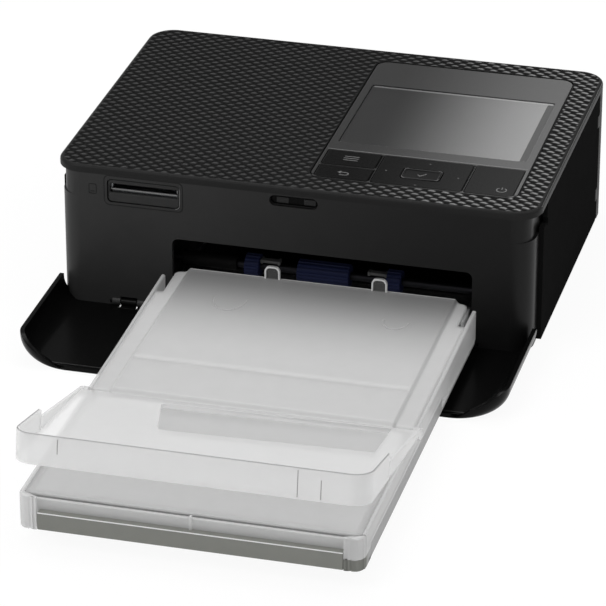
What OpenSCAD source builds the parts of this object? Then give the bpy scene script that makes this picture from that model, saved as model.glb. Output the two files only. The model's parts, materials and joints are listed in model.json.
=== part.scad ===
// Compact photo printer with an open front door and a paper cassette in its front opening.
// Frame: X to the right, the front faces -Y, +Z up. The origin is under the middle of the whole
// printer with its cassette, on the surface that it stands on.

/* [Body] */
// Width of the body
body_w = 182.2; // [176:0.2:190]
// Depth of the body without door and cassette
body_d = 133; // [128:0.5:140]
// Height of the body on its feet
body_h = 57.6; // [56:0.1:62]
// Radius of the upright corners
corner_r = 10; // [8:0.5:13]
// Thickness of the casing walls
case_wall = 2; // [1.6:0.1:2.4]
// Height of the rubber feet
foot_h = 1.5; // [1.2:0.1:2.5]
// Radius of the rubber feet
foot_r = 6; // [4:0.5:7]
// Thickness of the top cover at its rim
top_h = 2.9; // [2.4:0.1:3.4]
// Radius of the rounding along the top edge
top_round = 2.2; // [1:0.1:2.4]

/* [Front] */
// Thickness of the front wall
front_wall = 2.2; // [1.8:0.1:2.6]
// Width of the paper opening
opening_w = 113.4; // [112.6:0.1:115]
// Middle of the paper opening, to the right of the body's middle
opening_x = 10.8; // [10:0.1:11.5]
// Height of the top of the opening above the table
opening_top = 31.8; // [30:0.1:34]
// Height of the bottom of the opening above the table
opening_bottom = 6.2; // [6:0.1:6.2]
// Radius of the upper corners of the opening
opening_r = 2.5; // [1:0.1:4]
// Middle of the card slot, from the body's middle
card_x = -56.6; // [-60:0.1:-54]
// Height of the middle of the card slot frame
card_z = 48.5; // [47:0.1:49]
// Width of the card slot frame
card_frame_w = 28.8; // [28:0.1:32]
// Height of the card slot frame
card_frame_h = 10.4; // [9:0.1:10.8]
// Width of the card slot
card_slot_w = 25.8; // [25:0.1:27]
// Height of the card slot
card_slot_h = 3.6; // [3:0.1:4.2]
// Length of the catch recess
catch_w = 17.8; // [14:0.1:20]
// Height of the catch recess
catch_h = 3.8; // [3:0.1:4.4]
// Height of the finger notch beside the front corners
notch_h = 9.3; // [6:0.1:12]

/* [Front door] */
// Thickness of the door
door_wall = 1.7; // [1.4:0.1:2]
// Length of the door from its hinge to its free edge
door_len = 53.2; // [50:0.1:54]
// Height of the door's hinge axis above the table
door_axis_z = 3; // [2.8:0.1:3.2]
// Radius of the door's long edges
door_r = 9; // [7:0.1:9.5]
// Height of the door's sides when it lies open
door_side_h = 10.2; // [10:0.1:12]
// Gap between the open door and the table
door_lift = 0.3; // [0.2:0.05:0.4]
// Radius of the door's hinge pins
door_pin_r = 0.9; // [0.7:0.05:1]

/* [Control panel] */
// Width of the control panel
panel_w = 77.4; // [76.6:0.1:78.4]
// Distance from the control panel to the body's back
panel_back = 11; // [10:0.1:14]
// Distance from the control panel to the body's right side
panel_inset = 10.8; // [10.4:0.1:12.5]
// Distance from the body's front to the control panel
panel_front = 12.6; // [11:0.1:15]
// Width of the border beside the display window
window_border = 2.9; // [2.2:0.1:3.5]
// Depth of the display window
window_d = 55.4; // [53:0.1:57]
// Distance from the panel's front edge to the display window
window_front = 31.8; // [31:0.1:33]
// Width of the dark rim beside the lit area of the display
lit_border = 0.5; // [0.3:0.1:1.5]
// Depth of the lit area of the display
lit_d = 50.4; // [48:0.1:52]
// Depth of the key row
key_d = 24.2; // [22:0.1:24.6]
// Width of the navigation key's hole
nav_w = 34.4; // [32:0.1:35]
// Middle of the navigation key, to the right of the panel's middle
nav_shift = 1.15; // [0:0.05:1.5]
// Width of the middle key
ok_w = 14.6; // [12:0.1:16]
// Depth of the middle key
ok_d = 8.8; // [7:0.1:10]
// Travel of the keys
key_travel = 0.4; // [0.3:0.05:0.5]
// Gap round each key
key_gap = 0.3; // [0.25:0.05:0.4]

/* [Cassette] */
// Outer width of the cassette in front of the body
cassette_w = 118.8; // [117:0.1:121]
// Distance from the body's front to the cassette's front edge
cassette_reach = 175; // [165:0.5:180]
// Length of the cassette that goes into the body
insert_l = 22; // [18:0.5:23]
// Width of the part that goes into the body
insert_w = 110.8; // [108:0.1:111.4]
// Height of the cassette's underside above the table
cassette_z = 6.5; // [6.3:0.1:6.7]
// Height of the cassette from its underside to its side walls' top
cassette_h = 12.2; // [11.8:0.1:12.6]
// Thickness of the cassette's walls
cassette_wall = 1.4; // [1.2:0.1:1.5]
// Width of the raised middle of the rear lid
plateau_w = 101.3; // [98:0.1:103]
// Length of the output cover from its hinge
cover_l = 77; // [70:0.5:79]
// Outer width of the output cover
cover_w = 122; // [121.6:0.1:124]
// Height of the output cover's front wall
cover_h = 10.8; // [8:0.1:12]
// Tilt of the output cover as it stands, in degrees
cover_tilt = 9.3; // [6:0.1:12]

/* [Mechanism] */
// Radius of the blue pickup rollers
pickup_r = 4.5; // [4:0.1:4.6]
// Radius of the pickup shaft
pickup_shaft_r = 1.5; // [1.2:0.1:2]
// Distance from the body's front to the pickup shaft
pickup_u = 14.5; // [14:0.1:15]
// Radius of the platen roller
platen_r = 6.8; // [6:0.1:6.8]
// Radius of the capstan and of its pinch roller
capstan_r = 3.5; // [3:0.1:3.6]
// Distance from the body's front to the capstan
capstan_u = 42; // [41:0.1:43]
// Distance from the body's front to the platen roller
platen_u = 75; // [74:0.1:76]
// Module of the gears
gear_m = 0.6; // [0.58:0.01:0.62]
// Thickness of the chassis side plates
chassis_t = 1.2; // [1:0.1:1.5]
// Radial clearance of the shafts in their holes
shaft_gap = 0.05; // [0.03:0.01:0.08]

/* [Sockets] */
// Distance from the power inlet's middle to the right chassis plate
dc_inset = 5.5; // [5.2:0.1:8]
// Distance from the data socket's middle to the body's left side
usb_inset = 21.1; // [16:0.1:30]
// Height of the middle of both sockets above the table
socket_z = 13; // [11:0.1:20]
// Radius of the power inlet
dc_r = 4; // [3.6:0.1:4.6]
// Radius of the hole in the power inlet
dc_bore = 2.8; // [2.5:0.05:3]
// Width of the data socket
usb_w = 9; // [8:0.1:10]
// Height of the data socket
usb_h = 3.4; // [3:0.1:4]

/* [Hidden] */
$fn = 64;
soft_fn = 32;
eps = 0.01;

// Places along Y
cover_axis_u = -99.5;
cover_floor_w0 = 0.5;
cover_reach = -cover_axis_u + cover_l * cos(cover_tilt) - cover_floor_w0 * sin(cover_tilt);
reach = max(cassette_reach, cover_reach);
back_y = (body_d + reach) / 2;
front_y = back_y - body_d;
mid_y = (front_y + back_y) / 2;

// Heights
case_z = foot_h;
floor_t = 2;
floor_z = case_z + floor_t;
rim_z = body_h - top_h;
shell_step = 1.1;
shell_half = body_w / 2 - case_wall + 0.2;
recess_half = shell_half - shell_step;
shell_reach = 12.2;
flange_reach = 20.5;
panel_start = 12.5;
notch_reach = 18.5;
inner_half = body_w / 2 - case_wall;
base_half = recess_half - front_wall;

// Screws and bosses
boss_x = body_w / 2 - 9;
boss_front = 9.5;
boss_back = body_d - 7.5;
boss_r = 3.2;
screw_r = 1.45;
screw_hole_r = 1.5;
screw_head_r = 2.9;
screw_head_h = 1.1;
screw_reach = 8;
rail_h = 5;

// Side cover hinge
hinge_r = 1.5;
hinge_x = body_w / 2 - hinge_r;
hinge_u = body_d - 15.8;
hinge_pin_r = 0.7;
ear_h = 5;
ear_z = [10, 41];
cover_edge_u = hinge_u + 0.8;
rear_start = hinge_u + 1.9;

// Front door
door_axis_u = 0.6;
door_half = body_w / 2;
door_skin = 1.5;
door_free_r = 7;
door_knuckle_x = 60;
door_knuckle_w = 6;
door_lug_w = 3;
door_knuckle_r = 1.5;
hook_h = 1.8;
hook_w = 5.3;
hook_x = [-4.3, 6];
catch_x = 0.5;
catch_z = rim_z - 2.6;

// Control panel
panel_d = body_d - panel_front - panel_back;
panel_x = body_w / 2 - panel_inset - panel_w / 2;
window_w = panel_w - 2 * window_border;
lit_w = window_w - 2 * lit_border;
panel_r = 4.5;
panel_gap = 0.35;
panel_top = body_h - 0.1;
panel_t = 2.2;
flange_t = 1.4;
flange_out = 1.5;
flange_in = 1.2;
panel_mid_y = front_y + panel_front + panel_d / 2;
lens_t = 1.2;
lens_y = front_y + panel_front + window_front + window_d / 2;
lit_y = lens_y - (window_d - lit_d) / 2 + 0.6;
key_row_y = front_y + panel_front + 0.5 + key_d / 2;
key_bar = 0.5;
key_border = 1.2;
nav_x = panel_x + nav_shift;
ok_y = key_row_y - 1.3;
split_y = key_row_y - 0.9;
menu_d = key_row_y + key_d / 2 - split_y - key_bar / 2;
back_d = split_y - key_bar / 2 - key_row_y + key_d / 2;
menu_y = split_y + (key_bar + menu_d) / 2;
back_key_y = split_y - (key_bar + back_d) / 2;
side_key_w = panel_w / 2 - key_border + nav_shift - nav_w / 2 - key_bar;
side_key_x = nav_x - nav_w / 2 - key_bar - side_key_w / 2;
power_w = panel_w / 2 - key_border - nav_shift - nav_w / 2 - key_bar;
power_x = nav_x + nav_w / 2 + key_bar + power_w / 2;
nav_stem_x = 13;
nav_stem_y = 9.2;
nav_stems = [[0, nav_stem_y], [0, -nav_stem_y], [nav_stem_x, 0], [-nav_stem_x, 0]];
key_skirt_h = 0.8;
key_under = panel_top - panel_t - 0.15;
board_t = 1.6;
board_z = 48.6;
switch_h = 2.2;
stem_bottom = board_z + board_t + switch_h + key_travel + 0.15;
display_t = 2.8;
board_x0 = 7.1 - body_w / 2;
board_x1 = panel_x - panel_w / 2 - 16.9;
board_front = 40;
board_back = body_d - 15;
board_post_r = 2.4;
board_posts_x = [board_x0 + 6, board_x1 - 6];
board_posts_u = [board_front + 6, board_back - 8];
socket_back = 31;

// Cassette
tray_x = opening_x + 0.2;
tray_half = cassette_w / 2;
insert_half = insert_w / 2;
tray_gap = 3.2;
ear_back = 5.6;
slit_l = 17.5;
slit_edge = insert_half - 0.2;
tray_floor_t = 1.4;
tray_floor_top = cassette_z + tray_floor_t;
wall_top = cassette_z + cassette_h;
skirt_h = 5.6;
skirt_back = 60;
bar_t = 3.4;
bar_half = 52.6;
bar_h = 6.3;
post_l = 7;
lid_t = 1.4;
plateau_top = wall_top + 1.3;
lid_back = 1;
lid_front = 98;
inner_lid_top = wall_top - 0.6;
inner_lid_front = 166;
insert_wall_top = cassette_z + 8.8;
insert_back_top = cassette_z + 5.5;
cover_axis_z = wall_top - 0.3;
cover_pin_r = 1.2;
cover_boss_r = 2.3;
cover_wall = 1.3;
cover_floor_t = 2;
cover_start = 3.2;
cover_slit = 47;
cover_slit_w = 1.2;
cover_corner_r = 7;
window_x0 = -30.5;
window_x1 = 50;
cover_window_l = 25;

// Mechanism
chassis_left = tray_x - tray_half - 3.6;
chassis_right = tray_x + tray_half + 2.6;
path_z = 18.6;
guide_t = 0.9;
pickup_z = 17.5;
capstan_z = path_z - 0.1 - capstan_r;
pinch_z = path_z + 0.1 + capstan_r;
platen_z = path_z - 0.1 - platen_r;
roller_w = 106;
shaft_r = 2.2;
gear_t = 3;
gear_x = chassis_left - 2.2;
foot_w = 2;
low_plate_z = 30;
low_plate_u = 36;
motor_r = 10;
motor_x0 = 5.1 - body_w / 2;
motor_x1 = gear_x - gear_t - 3;
teeth_pickup = 24;
teeth_front_idler = 18;
teeth_capstan = 32;
teeth_rear_idler = 32;
teeth_platen = 24;
teeth_pinion = 12;
mesh_gap = 0.02;
head_pivot_u = body_d - 21;
head_pivot_z = 45;
supply_u = 95;
supply_z = 32;
supply_r = 11;
takeup_u = 58;
takeup_z = 33;
takeup_r = 9.5;
cartridge_gap = 0.3;
cartridge_left = chassis_left + chassis_t + cartridge_gap;
cartridge_right = chassis_right - cartridge_gap;
cartridge_wall = 1.2;
core_r = 4.5;
bridge_z = 38.5;
bridge_h = 3;
bridge_w = 2.5;
plate_front = 8;
plate_back = body_d - 9;
foot_front = 24;
guide_front = 28;
guide_back = body_d - 11;
axle_r = 1.5;
lift_half = plateau_w / 2 - 0.25;
lift_back = 150;

// Sockets
dc_x = chassis_right - dc_inset;
dc_z = socket_z;
dc_face = body_d - 0.5;
dc_l = 11.5;
dc_depth = 9.5;
dc_mouth = 4.5;
dc_contact_r = 0.8;
usb_x = usb_inset - body_w / 2;
usb_z = socket_z;
usb_wall = 0.5;
socket_gap = 0.2;
vent_n = 14;
vent_step = 5;
vent_w = 2.4;
vent_z = [34, 46];
slot_half = 52;
slot_reach = 3.2;

function fy(u) = front_y + u;
function pitch_r(n) = n * gear_m / 2;
function mesh(a, b) = pitch_r(a) + pitch_r(b) + mesh_gap;
// Direction of the line from one point (u, z) to another
function way(p, q) = atan2(q[1] - p[1], q[0] - p[0]);
// Turn of the second gear that puts a gap where the first has a tooth
function meshed(turn_a, way_ab, na, nb) =
  way_ab + 180 + 180 / nb - (turn_a - way_ab) * na / nb;
// The point at distances ra and rb from p and q, on the upper side of the line between them
function reach_point(p, q, ra, rb) =
  let (d = norm(q - p), e = (ra * ra - rb * rb + d * d) / (2 * d), h = sqrt(ra * ra - e * e),
    t = (q - p) / d)
  p + t * e + [-t[1], t[0]] * h * sign(t[0]);

pickup_at = [pickup_u, pickup_z];
capstan_at = [capstan_u, capstan_z];
platen_at = [platen_u, platen_z];
front_idler_at = reach_point(pickup_at, capstan_at,
  mesh(teeth_pickup, teeth_front_idler), mesh(teeth_front_idler, teeth_capstan) + 0.2);
rear_idler_at = reach_point(capstan_at, platen_at,
  mesh(teeth_capstan, teeth_rear_idler), mesh(teeth_rear_idler, teeth_platen));
motor_way = 50;
pinion_at = rear_idler_at + mesh(teeth_rear_idler, teeth_pinion) * [cos(motor_way), sin(motor_way)];

turn_capstan = 0;
turn_front_idler = meshed(turn_capstan, way(capstan_at, front_idler_at), teeth_capstan,
  teeth_front_idler);
turn_pickup = meshed(turn_front_idler, way(front_idler_at, pickup_at), teeth_front_idler,
  teeth_pickup);
turn_rear_idler = meshed(turn_capstan, way(capstan_at, rear_idler_at), teeth_capstan,
  teeth_rear_idler);
turn_platen = meshed(turn_rear_idler, way(rear_idler_at, platen_at), teeth_rear_idler,
  teeth_platen);
turn_pinion = meshed(turn_rear_idler, motor_way, teeth_rear_idler, teeth_pinion);

// Flat rounded rectangle about the origin
module rounded(w, d, r) {
  square([w - 2 * r, d], center = true);
  square([w, d - 2 * r], center = true);
  for (sx = [-1, 1], sy = [-1, 1])
    translate([sx * (w / 2 - r), sy * (d / 2 - r)]) circle(r = r);
}

// Upright prism over a rounded rectangle
module slab(x, y, z0, z1, w, d, r) {
  translate([x, y, z0]) linear_extrude(z1 - z0) rounded(w, d, r);
}

// Box between two corners, in the body's own distances: u is measured from the body's front
module block(x0, x1, u0, u1, z0, z1) {
  translate([x0, fy(u0), z0]) cube([x1 - x0, u1 - u0, z1 - z0]);
}

// Cylinder along X between two places, at distance u from the front and height z
module rod(x0, x1, u, z, r) {
  translate([x0, fy(u), z]) rotate([0, 90, 0]) cylinder(h = x1 - x0, r = r);
}

// Upright cylinder
module post(x, u, z0, z1, r) {
  translate([x, fy(u), z0]) cylinder(h = z1 - z0, r = r);
}

// Ring of casing wall round the body's outline
module case_ring(z0, z1) {
  difference() {
    slab(0, mid_y, z0, z1, body_w, body_d, corner_r);
    slab(0, mid_y, z0 - 1, z1 + 1, body_w - 2 * case_wall, body_d - 2 * case_wall,
      corner_r - case_wall);
  }
}

// Band of front wall that turns round both front corners and runs back to the distance given
module front_band(half, r, run, z0, z1) {
  intersection() {
    difference() {
      slab(0, mid_y, z0, z1, 2 * half, body_d, r);
      slab(0, mid_y, z0 - 1, z1 + 1, 2 * (half - front_wall), body_d - 2 * front_wall,
        r - front_wall);
    }
    block(-body_w, body_w, -1, run, z0 - 2, z1 + 2);
  }
}

// Spur gear with its teeth round the X axis, from x = 0 to its thickness
module spur(teeth, bore, turn) {
  root = pitch_r(teeth) - 1.15 * gear_m;
  tip = pitch_r(teeth) + 0.65 * gear_m;
  step = 360 / teeth;
  rotate([90, 0, 90]) rotate([0, 0, turn]) linear_extrude(gear_t) difference() {
    union() {
      circle(r = root);
      for (i = [0 : teeth - 1])
        rotate([0, 0, i * step]) polygon([
          [root * cos(0.27 * step) - 0.2, -root * sin(0.27 * step)],
          [tip, -tip * sin(0.12 * step)],
          [tip, tip * sin(0.12 * step)],
          [root * cos(0.27 * step) - 0.2, root * sin(0.27 * step)]]);
    }
    circle(r = bore);
  }
}

module gear_at(at, teeth, bore, turn) {
  translate([gear_x - gear_t, fy(at[0]), at[1]]) spur(teeth, bore, turn);
}

module base_shell() color("#1c1c1b") {
  difference() {
    union() {
      intersection() {
        slab(0, mid_y, case_z, floor_z, 2 * base_half, body_d - 2 * front_wall - 2 * eps,
          corner_r - 2 * case_wall);
        block(-body_w, body_w, front_wall, body_d - case_wall, 0, body_h);
      }
      // low rails that the side panels lean on
      for (s = [-1, 1]) mirror([s > 0 ? 0 : 1, 0, 0])
        block(base_half - 0.6, inner_half, flange_reach, hinge_u - 4, case_z, floor_z + rail_h);
    }
    for (x = [-boss_x, boss_x], u = [boss_front, boss_back]) {
      post(x, u, case_z - 1, floor_z + screw_reach, screw_hole_r + 0.3);
      post(x, u, case_z - 1, case_z + screw_head_h, screw_head_r + 0.3);
    }
  }
}

module front_shell() color("#262626") {
  lug_x = [door_knuckle_x - door_lug_w - 0.3, door_knuckle_x + door_knuckle_w + 0.3];
  difference() {
    union() {
      front_band(shell_half, corner_r - case_wall, shell_reach, case_z, rim_z - notch_h);
      front_band(recess_half, corner_r - case_wall - 1, flange_reach, case_z, rim_z);
      // shelf under the card socket
      block(card_x - card_frame_w / 2 - 1, card_x + card_frame_w / 2 + 1, front_wall - eps,
        socket_back + 3,
        card_z - 5, card_z - 3.2);
      // lugs that hold the door's hinge pins
      for (s = [-1, 1], x = lug_x)
        translate([s > 0 ? x : -x - door_lug_w, 0, 0]) hull() {
          rod(0, door_lug_w, door_axis_u, door_axis_z, door_knuckle_r);
          block(0, door_lug_w, front_wall - 0.5, front_wall, case_z, door_axis_z + 3);
        }
    }
    // paper opening
    translate([opening_x, fy(-5), (opening_top + opening_bottom) / 2]) rotate([-90, 0, 0])
      linear_extrude(40) rounded(opening_w, opening_top - opening_bottom, opening_r);
    block(opening_x - opening_w / 2, opening_x + opening_w / 2, -5, 35, opening_bottom,
      opening_top - opening_r - 1);
    // card slot frame and catch recess
    block(card_x - card_frame_w / 2, card_x + card_frame_w / 2, -1, front_wall + 1,
      card_z - 3.2, card_z + card_frame_h / 2);
    block(card_x - card_frame_w / 2, card_x + card_frame_w / 2, -1, front_wall,
      card_z - card_frame_h / 2, card_z);
    translate([catch_x, fy(-1), catch_z]) rotate([-90, 0, 0])
      linear_extrude(front_wall + 2) rounded(catch_w, catch_h, catch_h / 2 - eps);
    // pin holes and room for the door's knuckles
    for (s = [-1, 1]) {
      x0 = s > 0 ? door_knuckle_x - 0.3 : -door_knuckle_x - door_knuckle_w - 0.3;
      block(x0, x0 + door_knuckle_w + 0.6, -1, front_wall + 1, case_z - 1, door_axis_z + 2.3);
      rod(x0 - door_lug_w - 1, x0 + door_knuckle_w + door_lug_w + 1.6, door_axis_u, door_axis_z,
        door_pin_r);
    }
  }
}

// Side panel with its finger notch at the upper front corner
module side_plate(u1) {
  difference() {
    intersection() {
      case_ring(case_z, rim_z);
      block(0, body_w, panel_start, u1, 0, body_h);
    }
    block(0, body_w, panel_start - 1, notch_reach, rim_z - notch_h + 1.5, body_h);
    translate([0, fy(notch_reach), rim_z - notch_h + 1.5]) rotate([0, 90, 0])
      cylinder(h = body_w, r = 1.5);
  }
}

module left_side_panel() color("#1b1b1a") {
  mirror([1, 0, 0]) side_plate(rear_start);
}

module rear_panel() color("#1d1d1c") {
  difference() {
    union() {
      intersection() {
        case_ring(case_z, rim_z);
        block(-body_w, body_w, rear_start, body_d + 1, 0, body_h);
      }
      // hinge ears for the side cover
      for (z = ear_z) {
        post(hinge_x, hinge_u, z, z + ear_h, hinge_r);
        block(hinge_x - 0.6, hinge_x + hinge_r, hinge_u, rear_start + 1, z, z + ear_h);
      }
    }
    for (z = ear_z) post(hinge_x, hinge_u, z - 1, z + ear_h + 1, hinge_pin_r);
    // paper slot, vents, power and data sockets
    block(opening_x - slot_half, opening_x + slot_half, body_d - 5, body_d + 5,
      path_z - slot_reach, path_z + slot_reach);
    for (i = [0 : vent_n - 1])
      block(usb_x + i * vent_step, usb_x + i * vent_step + vent_w, body_d - 5, body_d + 5,
        vent_z[0], vent_z[1]);
    translate([dc_x, fy(body_d - 5), dc_z]) rotate([-90, 0, 0])
      cylinder(h = 10, r = dc_r + socket_gap);
    block(usb_x - usb_w / 2 - socket_gap, usb_x + usb_w / 2 + socket_gap, body_d - 5, body_d + 5,
      usb_z - usb_h / 2 - socket_gap, usb_z + usb_h / 2 + socket_gap);
  }
}
module top_cover() color("#2a2a29") {
  difference() {
    union() {
      hull()
        for (sx = [-1, 1], sy = [-1, 1])
          translate([sx * (body_w / 2 - corner_r), mid_y + sy * (body_d / 2 - corner_r), rim_z]) {
            cylinder(h = top_h - top_round, r = corner_r, $fn = 2 * soft_fn);
            for (a = [0 : 22.5 : 90])
              cylinder(h = top_h - top_round * (1 - sin(a)), r = corner_r - top_round * (1 - cos(a)),
                $fn = 2 * soft_fn);
          }
      for (x = [-boss_x, boss_x], u = [boss_front, boss_back])
        post(x, u, floor_z, rim_z + 1, boss_r);
      for (x = board_posts_x, u = board_posts_u)
        post(x, u, board_z + board_t, rim_z + 1, board_post_r);
    }
    slab(panel_x, panel_mid_y, rim_z - 1, body_h + 1, panel_w + 2 * panel_gap,
      panel_d + 2 * panel_gap, panel_r + panel_gap);
    for (x = [-boss_x, boss_x], u = [boss_front, boss_back])
      post(x, u, floor_z - 1, floor_z + screw_reach + 1, screw_hole_r);
  }
}

module side_cover() color("#1b1b1a") {
  gap = 0.3;
  difference() {
    union() {
      side_plate(hinge_u);
      post(hinge_x, hinge_u, case_z, rim_z, hinge_r);
      block(hinge_x - hinge_r / 2, hinge_x + hinge_r, hinge_u - 3, hinge_u, case_z, rim_z);
      // grip rib behind the front edge
      block(inner_half - 2, inner_half + 0.2, notch_reach + 4, notch_reach + 6,
        floor_z + rail_h + 1, 44);
    }
    for (z = ear_z) {
      block(hinge_x - hinge_r - 1, body_w, hinge_u - hinge_r - gap, body_d, z - gap,
        z + ear_h + gap);
      post(hinge_x, hinge_u, z - 6, z + ear_h + 6, hinge_pin_r + shaft_gap);
    }
    block(inner_half - 8, body_w, panel_start, body_d, rim_z - 0.3, body_h);
    block(inner_half - 8, body_w, panel_start, body_d, 0, case_z + 0.2);
  }
}

module side_cover_pins() color("#b9bcc0") {
  for (z = ear_z) post(hinge_x, hinge_u, z - 4, z + ear_h + 4, hinge_pin_r);
}

module rubber_feet() color("#222222") {
  for (x = [-boss_x + 12, boss_x - 12], u = [boss_front + 6, boss_back - 2])
    post(x, u, 0, foot_h, foot_r);
}

module case_screws() color("#9a9ca0") {
  for (x = [-boss_x, boss_x], u = [boss_front, boss_back]) difference() {
    union() {
      post(x, u, case_z, case_z + screw_head_h, screw_head_r);
      post(x, u, case_z, floor_z + screw_reach, screw_r);
    }
    for (a = [0, 90]) translate([x, fy(u), case_z]) rotate([0, 0, a])
      cube([3.2, 0.8, 1], center = true);
  }
}

// Open door: a channel along Y whose sides stand up, with its free end rounded off
module front_door() color("#161616") {
  side_top = door_side_h;
  free_u = door_axis_u - door_len;
  foot_gap = 0.3;
  side_end = 4;
  lug_w = door_knuckle_w + 2 * door_lug_w + 2;
  difference() {
    union() {
      difference() {
        translate([0, fy(free_u), 0]) rotate([90, 0, 180]) linear_extrude(side_end - free_u)
          difference() {
            intersection() {
              translate([0, door_lift + 20]) rounded(2 * door_half, 40, door_r);
              translate([-body_w, 0]) square([2 * body_w, side_top]);
            }
            translate([0, door_lift + door_wall + 20])
              rounded(2 * (door_half - door_skin), 40, door_r - door_skin);
          }
        // the floor of the door follows the foot of the body, its sides run on beside it
        slab(0, mid_y, -1, 20, 2 * (door_half - door_skin), body_d + 2 * foot_gap,
          corner_r - case_wall + foot_gap);
        for (s = [-1, 1])
          block(s * (door_knuckle_x + door_knuckle_w / 2) - lug_w / 2,
            s * (door_knuckle_x + door_knuckle_w / 2) + lug_w / 2, -2.2, side_end, 0, 9);
      }
      for (s = [-1, 1]) {
        x0 = s > 0 ? door_knuckle_x : -door_knuckle_x - door_knuckle_w;
        hull() {
          rod(x0, x0 + door_knuckle_w, door_axis_u, door_axis_z, door_knuckle_r);
          block(x0, x0 + door_knuckle_w, -3, -2, door_lift, door_lift + door_wall);
        }
      }
      for (x = hook_x)
        block(x - hook_w / 2, x + hook_w / 2, free_u + 2, free_u + 3.5, door_lift + 0.5,
          door_lift + door_wall + hook_h);
    }
    for (s = [-1, 1])
      rod(s * (door_knuckle_x + door_knuckle_w / 2) - lug_w / 2,
        s * (door_knuckle_x + door_knuckle_w / 2) + lug_w / 2, door_axis_u, door_axis_z,
        door_pin_r + shaft_gap);
    // rounded free corners of the sides
    difference() {
      block(-body_w, body_w, free_u - 1, free_u + door_free_r, side_top - door_free_r, side_top + 1);
      rod(-body_w - 1, body_w + 1, free_u + door_free_r, side_top - door_free_r, door_free_r);
    }
  }
}

module door_hinge_pins() color("#b9bcc0") {
  for (s = [-1, 1]) {
    x0 = s > 0 ? door_knuckle_x - door_lug_w + 0.5 : -door_knuckle_x - door_lug_w - door_knuckle_w - 0.5;
    rod(x0, x0 + door_knuckle_w + 2 * door_lug_w, door_axis_u, door_axis_z, door_pin_r);
  }
}

module door_catch() color("#4a4a4a") {
  block(catch_x - catch_w / 2 - 2, catch_x + catch_w / 2 + 2, front_wall, front_wall + 1.2,
    catch_z - catch_h / 2 - 1, catch_z + catch_h / 2 + 0.6);
  for (x = hook_x)
    block(x - 2.4 + catch_x, x + 2.4 + catch_x, 0.9, front_wall + 0.5, catch_z - 1.3, catch_z + 1.3);
}

module card_slot_frame() color("#303030") {
  difference() {
    block(card_x - card_frame_w / 2, card_x + card_frame_w / 2, 0.5, front_wall,
      card_z - card_frame_h / 2, card_z + card_frame_h / 2);
    block(card_x - card_slot_w / 2, card_x + card_slot_w / 2, 0, front_wall + 1,
      card_z + 1 - card_slot_h / 2, card_z + 1 + card_slot_h / 2);
  }
}

module card_socket() color("#8d8f92") {
  difference() {
    block(card_x - card_slot_w / 2 - 1, card_x + card_slot_w / 2 + 1, front_wall, socket_back,
      card_z - 3.2, card_z + 3.8);
    block(card_x - card_slot_w / 2 + 0.6, card_x + card_slot_w / 2 - 0.6, 0, socket_back - 3,
      card_z - 0.3, card_z + 2.3);
  }
}

module control_panel() color("#3a3a3b") {
  under = panel_top - panel_t;
  hole_z = rim_z - flange_t - 1;
  difference() {
    union() {
      slab(panel_x, panel_mid_y, under, panel_top, panel_w, panel_d, panel_r);
      difference() {
        union() {
          slab(panel_x, panel_mid_y, rim_z - flange_t, under + 0.2, panel_w, panel_d, panel_r);
          slab(panel_x, panel_mid_y, rim_z - flange_t, rim_z, panel_w + 2 * flange_out,
            panel_d + 2 * flange_out, panel_r + flange_out);
        }
        slab(panel_x, panel_mid_y, rim_z - flange_t - 1, under + 1, panel_w - 2 * flange_in,
          panel_d - 2 * flange_in, panel_r - flange_in);
      }
    }
    slab(panel_x, lens_y, panel_top - lens_t, panel_top + 1, window_w, window_d, 1.2);
    slab(panel_x, lit_y, under - 1, panel_top, lit_w, lit_d, 0.8);
    // one hole for each key, with a bar left between neighbours
    slab(side_key_x, menu_y, hole_z, panel_top + 1, side_key_w, menu_d, 1);
    slab(side_key_x, back_key_y, hole_z, panel_top + 1, side_key_w, back_d, 1);
    slab(nav_x, key_row_y, hole_z, panel_top + 1, nav_w, key_d, 1);
    slab(power_x, key_row_y, hole_z, panel_top + 1, power_w, key_d, 1);
  }
}

module display_window() color("#20242688") {
  slab(panel_x, lens_y, panel_top - lens_t, panel_top - 0.05, window_w - 0.2, window_d - 0.2, 1.1);
}

module display_module() color("#3d4245") {
  slab(panel_x, lit_y, panel_top - panel_t - display_t, panel_top - panel_t, window_w + 1.4,
    window_d - 0.6, 1);
}

// Key with its stems over their switches
module key(x, y, w, d, stems) {
  slab(x, y, key_under - key_skirt_h, panel_top - 0.05, w - 2 * key_gap, d - 2 * key_gap,
    1 - key_gap);
  for (p = stems)
    translate([x + p[0], y + p[1], stem_bottom]) cylinder(h = key_under - stem_bottom, r = 1.2);
}

module menu_key() color("#39393a") {
  key(side_key_x, menu_y, side_key_w, menu_d, [[0, 0]]);
}

module back_key() color("#39393a") {
  key(side_key_x, back_key_y, side_key_w, back_d, [[0, 0]]);
}

module navigation_key() color("#39393a") {
  difference() {
    key(nav_x, key_row_y, nav_w, key_d, nav_stems);
    slab(nav_x, ok_y, stem_bottom - 1, panel_top + 1, ok_w + 2 * key_gap, ok_d + 2 * key_gap,
      1.5 + key_gap);
  }
}

module ok_key() color("#444446") {
  slab(nav_x, ok_y, key_under - key_skirt_h, panel_top + 0.1, ok_w, ok_d, 1.5);
  translate([nav_x, ok_y, stem_bottom]) cylinder(h = key_under - stem_bottom, r = 1.2);
}

module power_key() color("#39393a") {
  key(power_x, key_row_y, power_w, key_d, [[0, 0]]);
}

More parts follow.
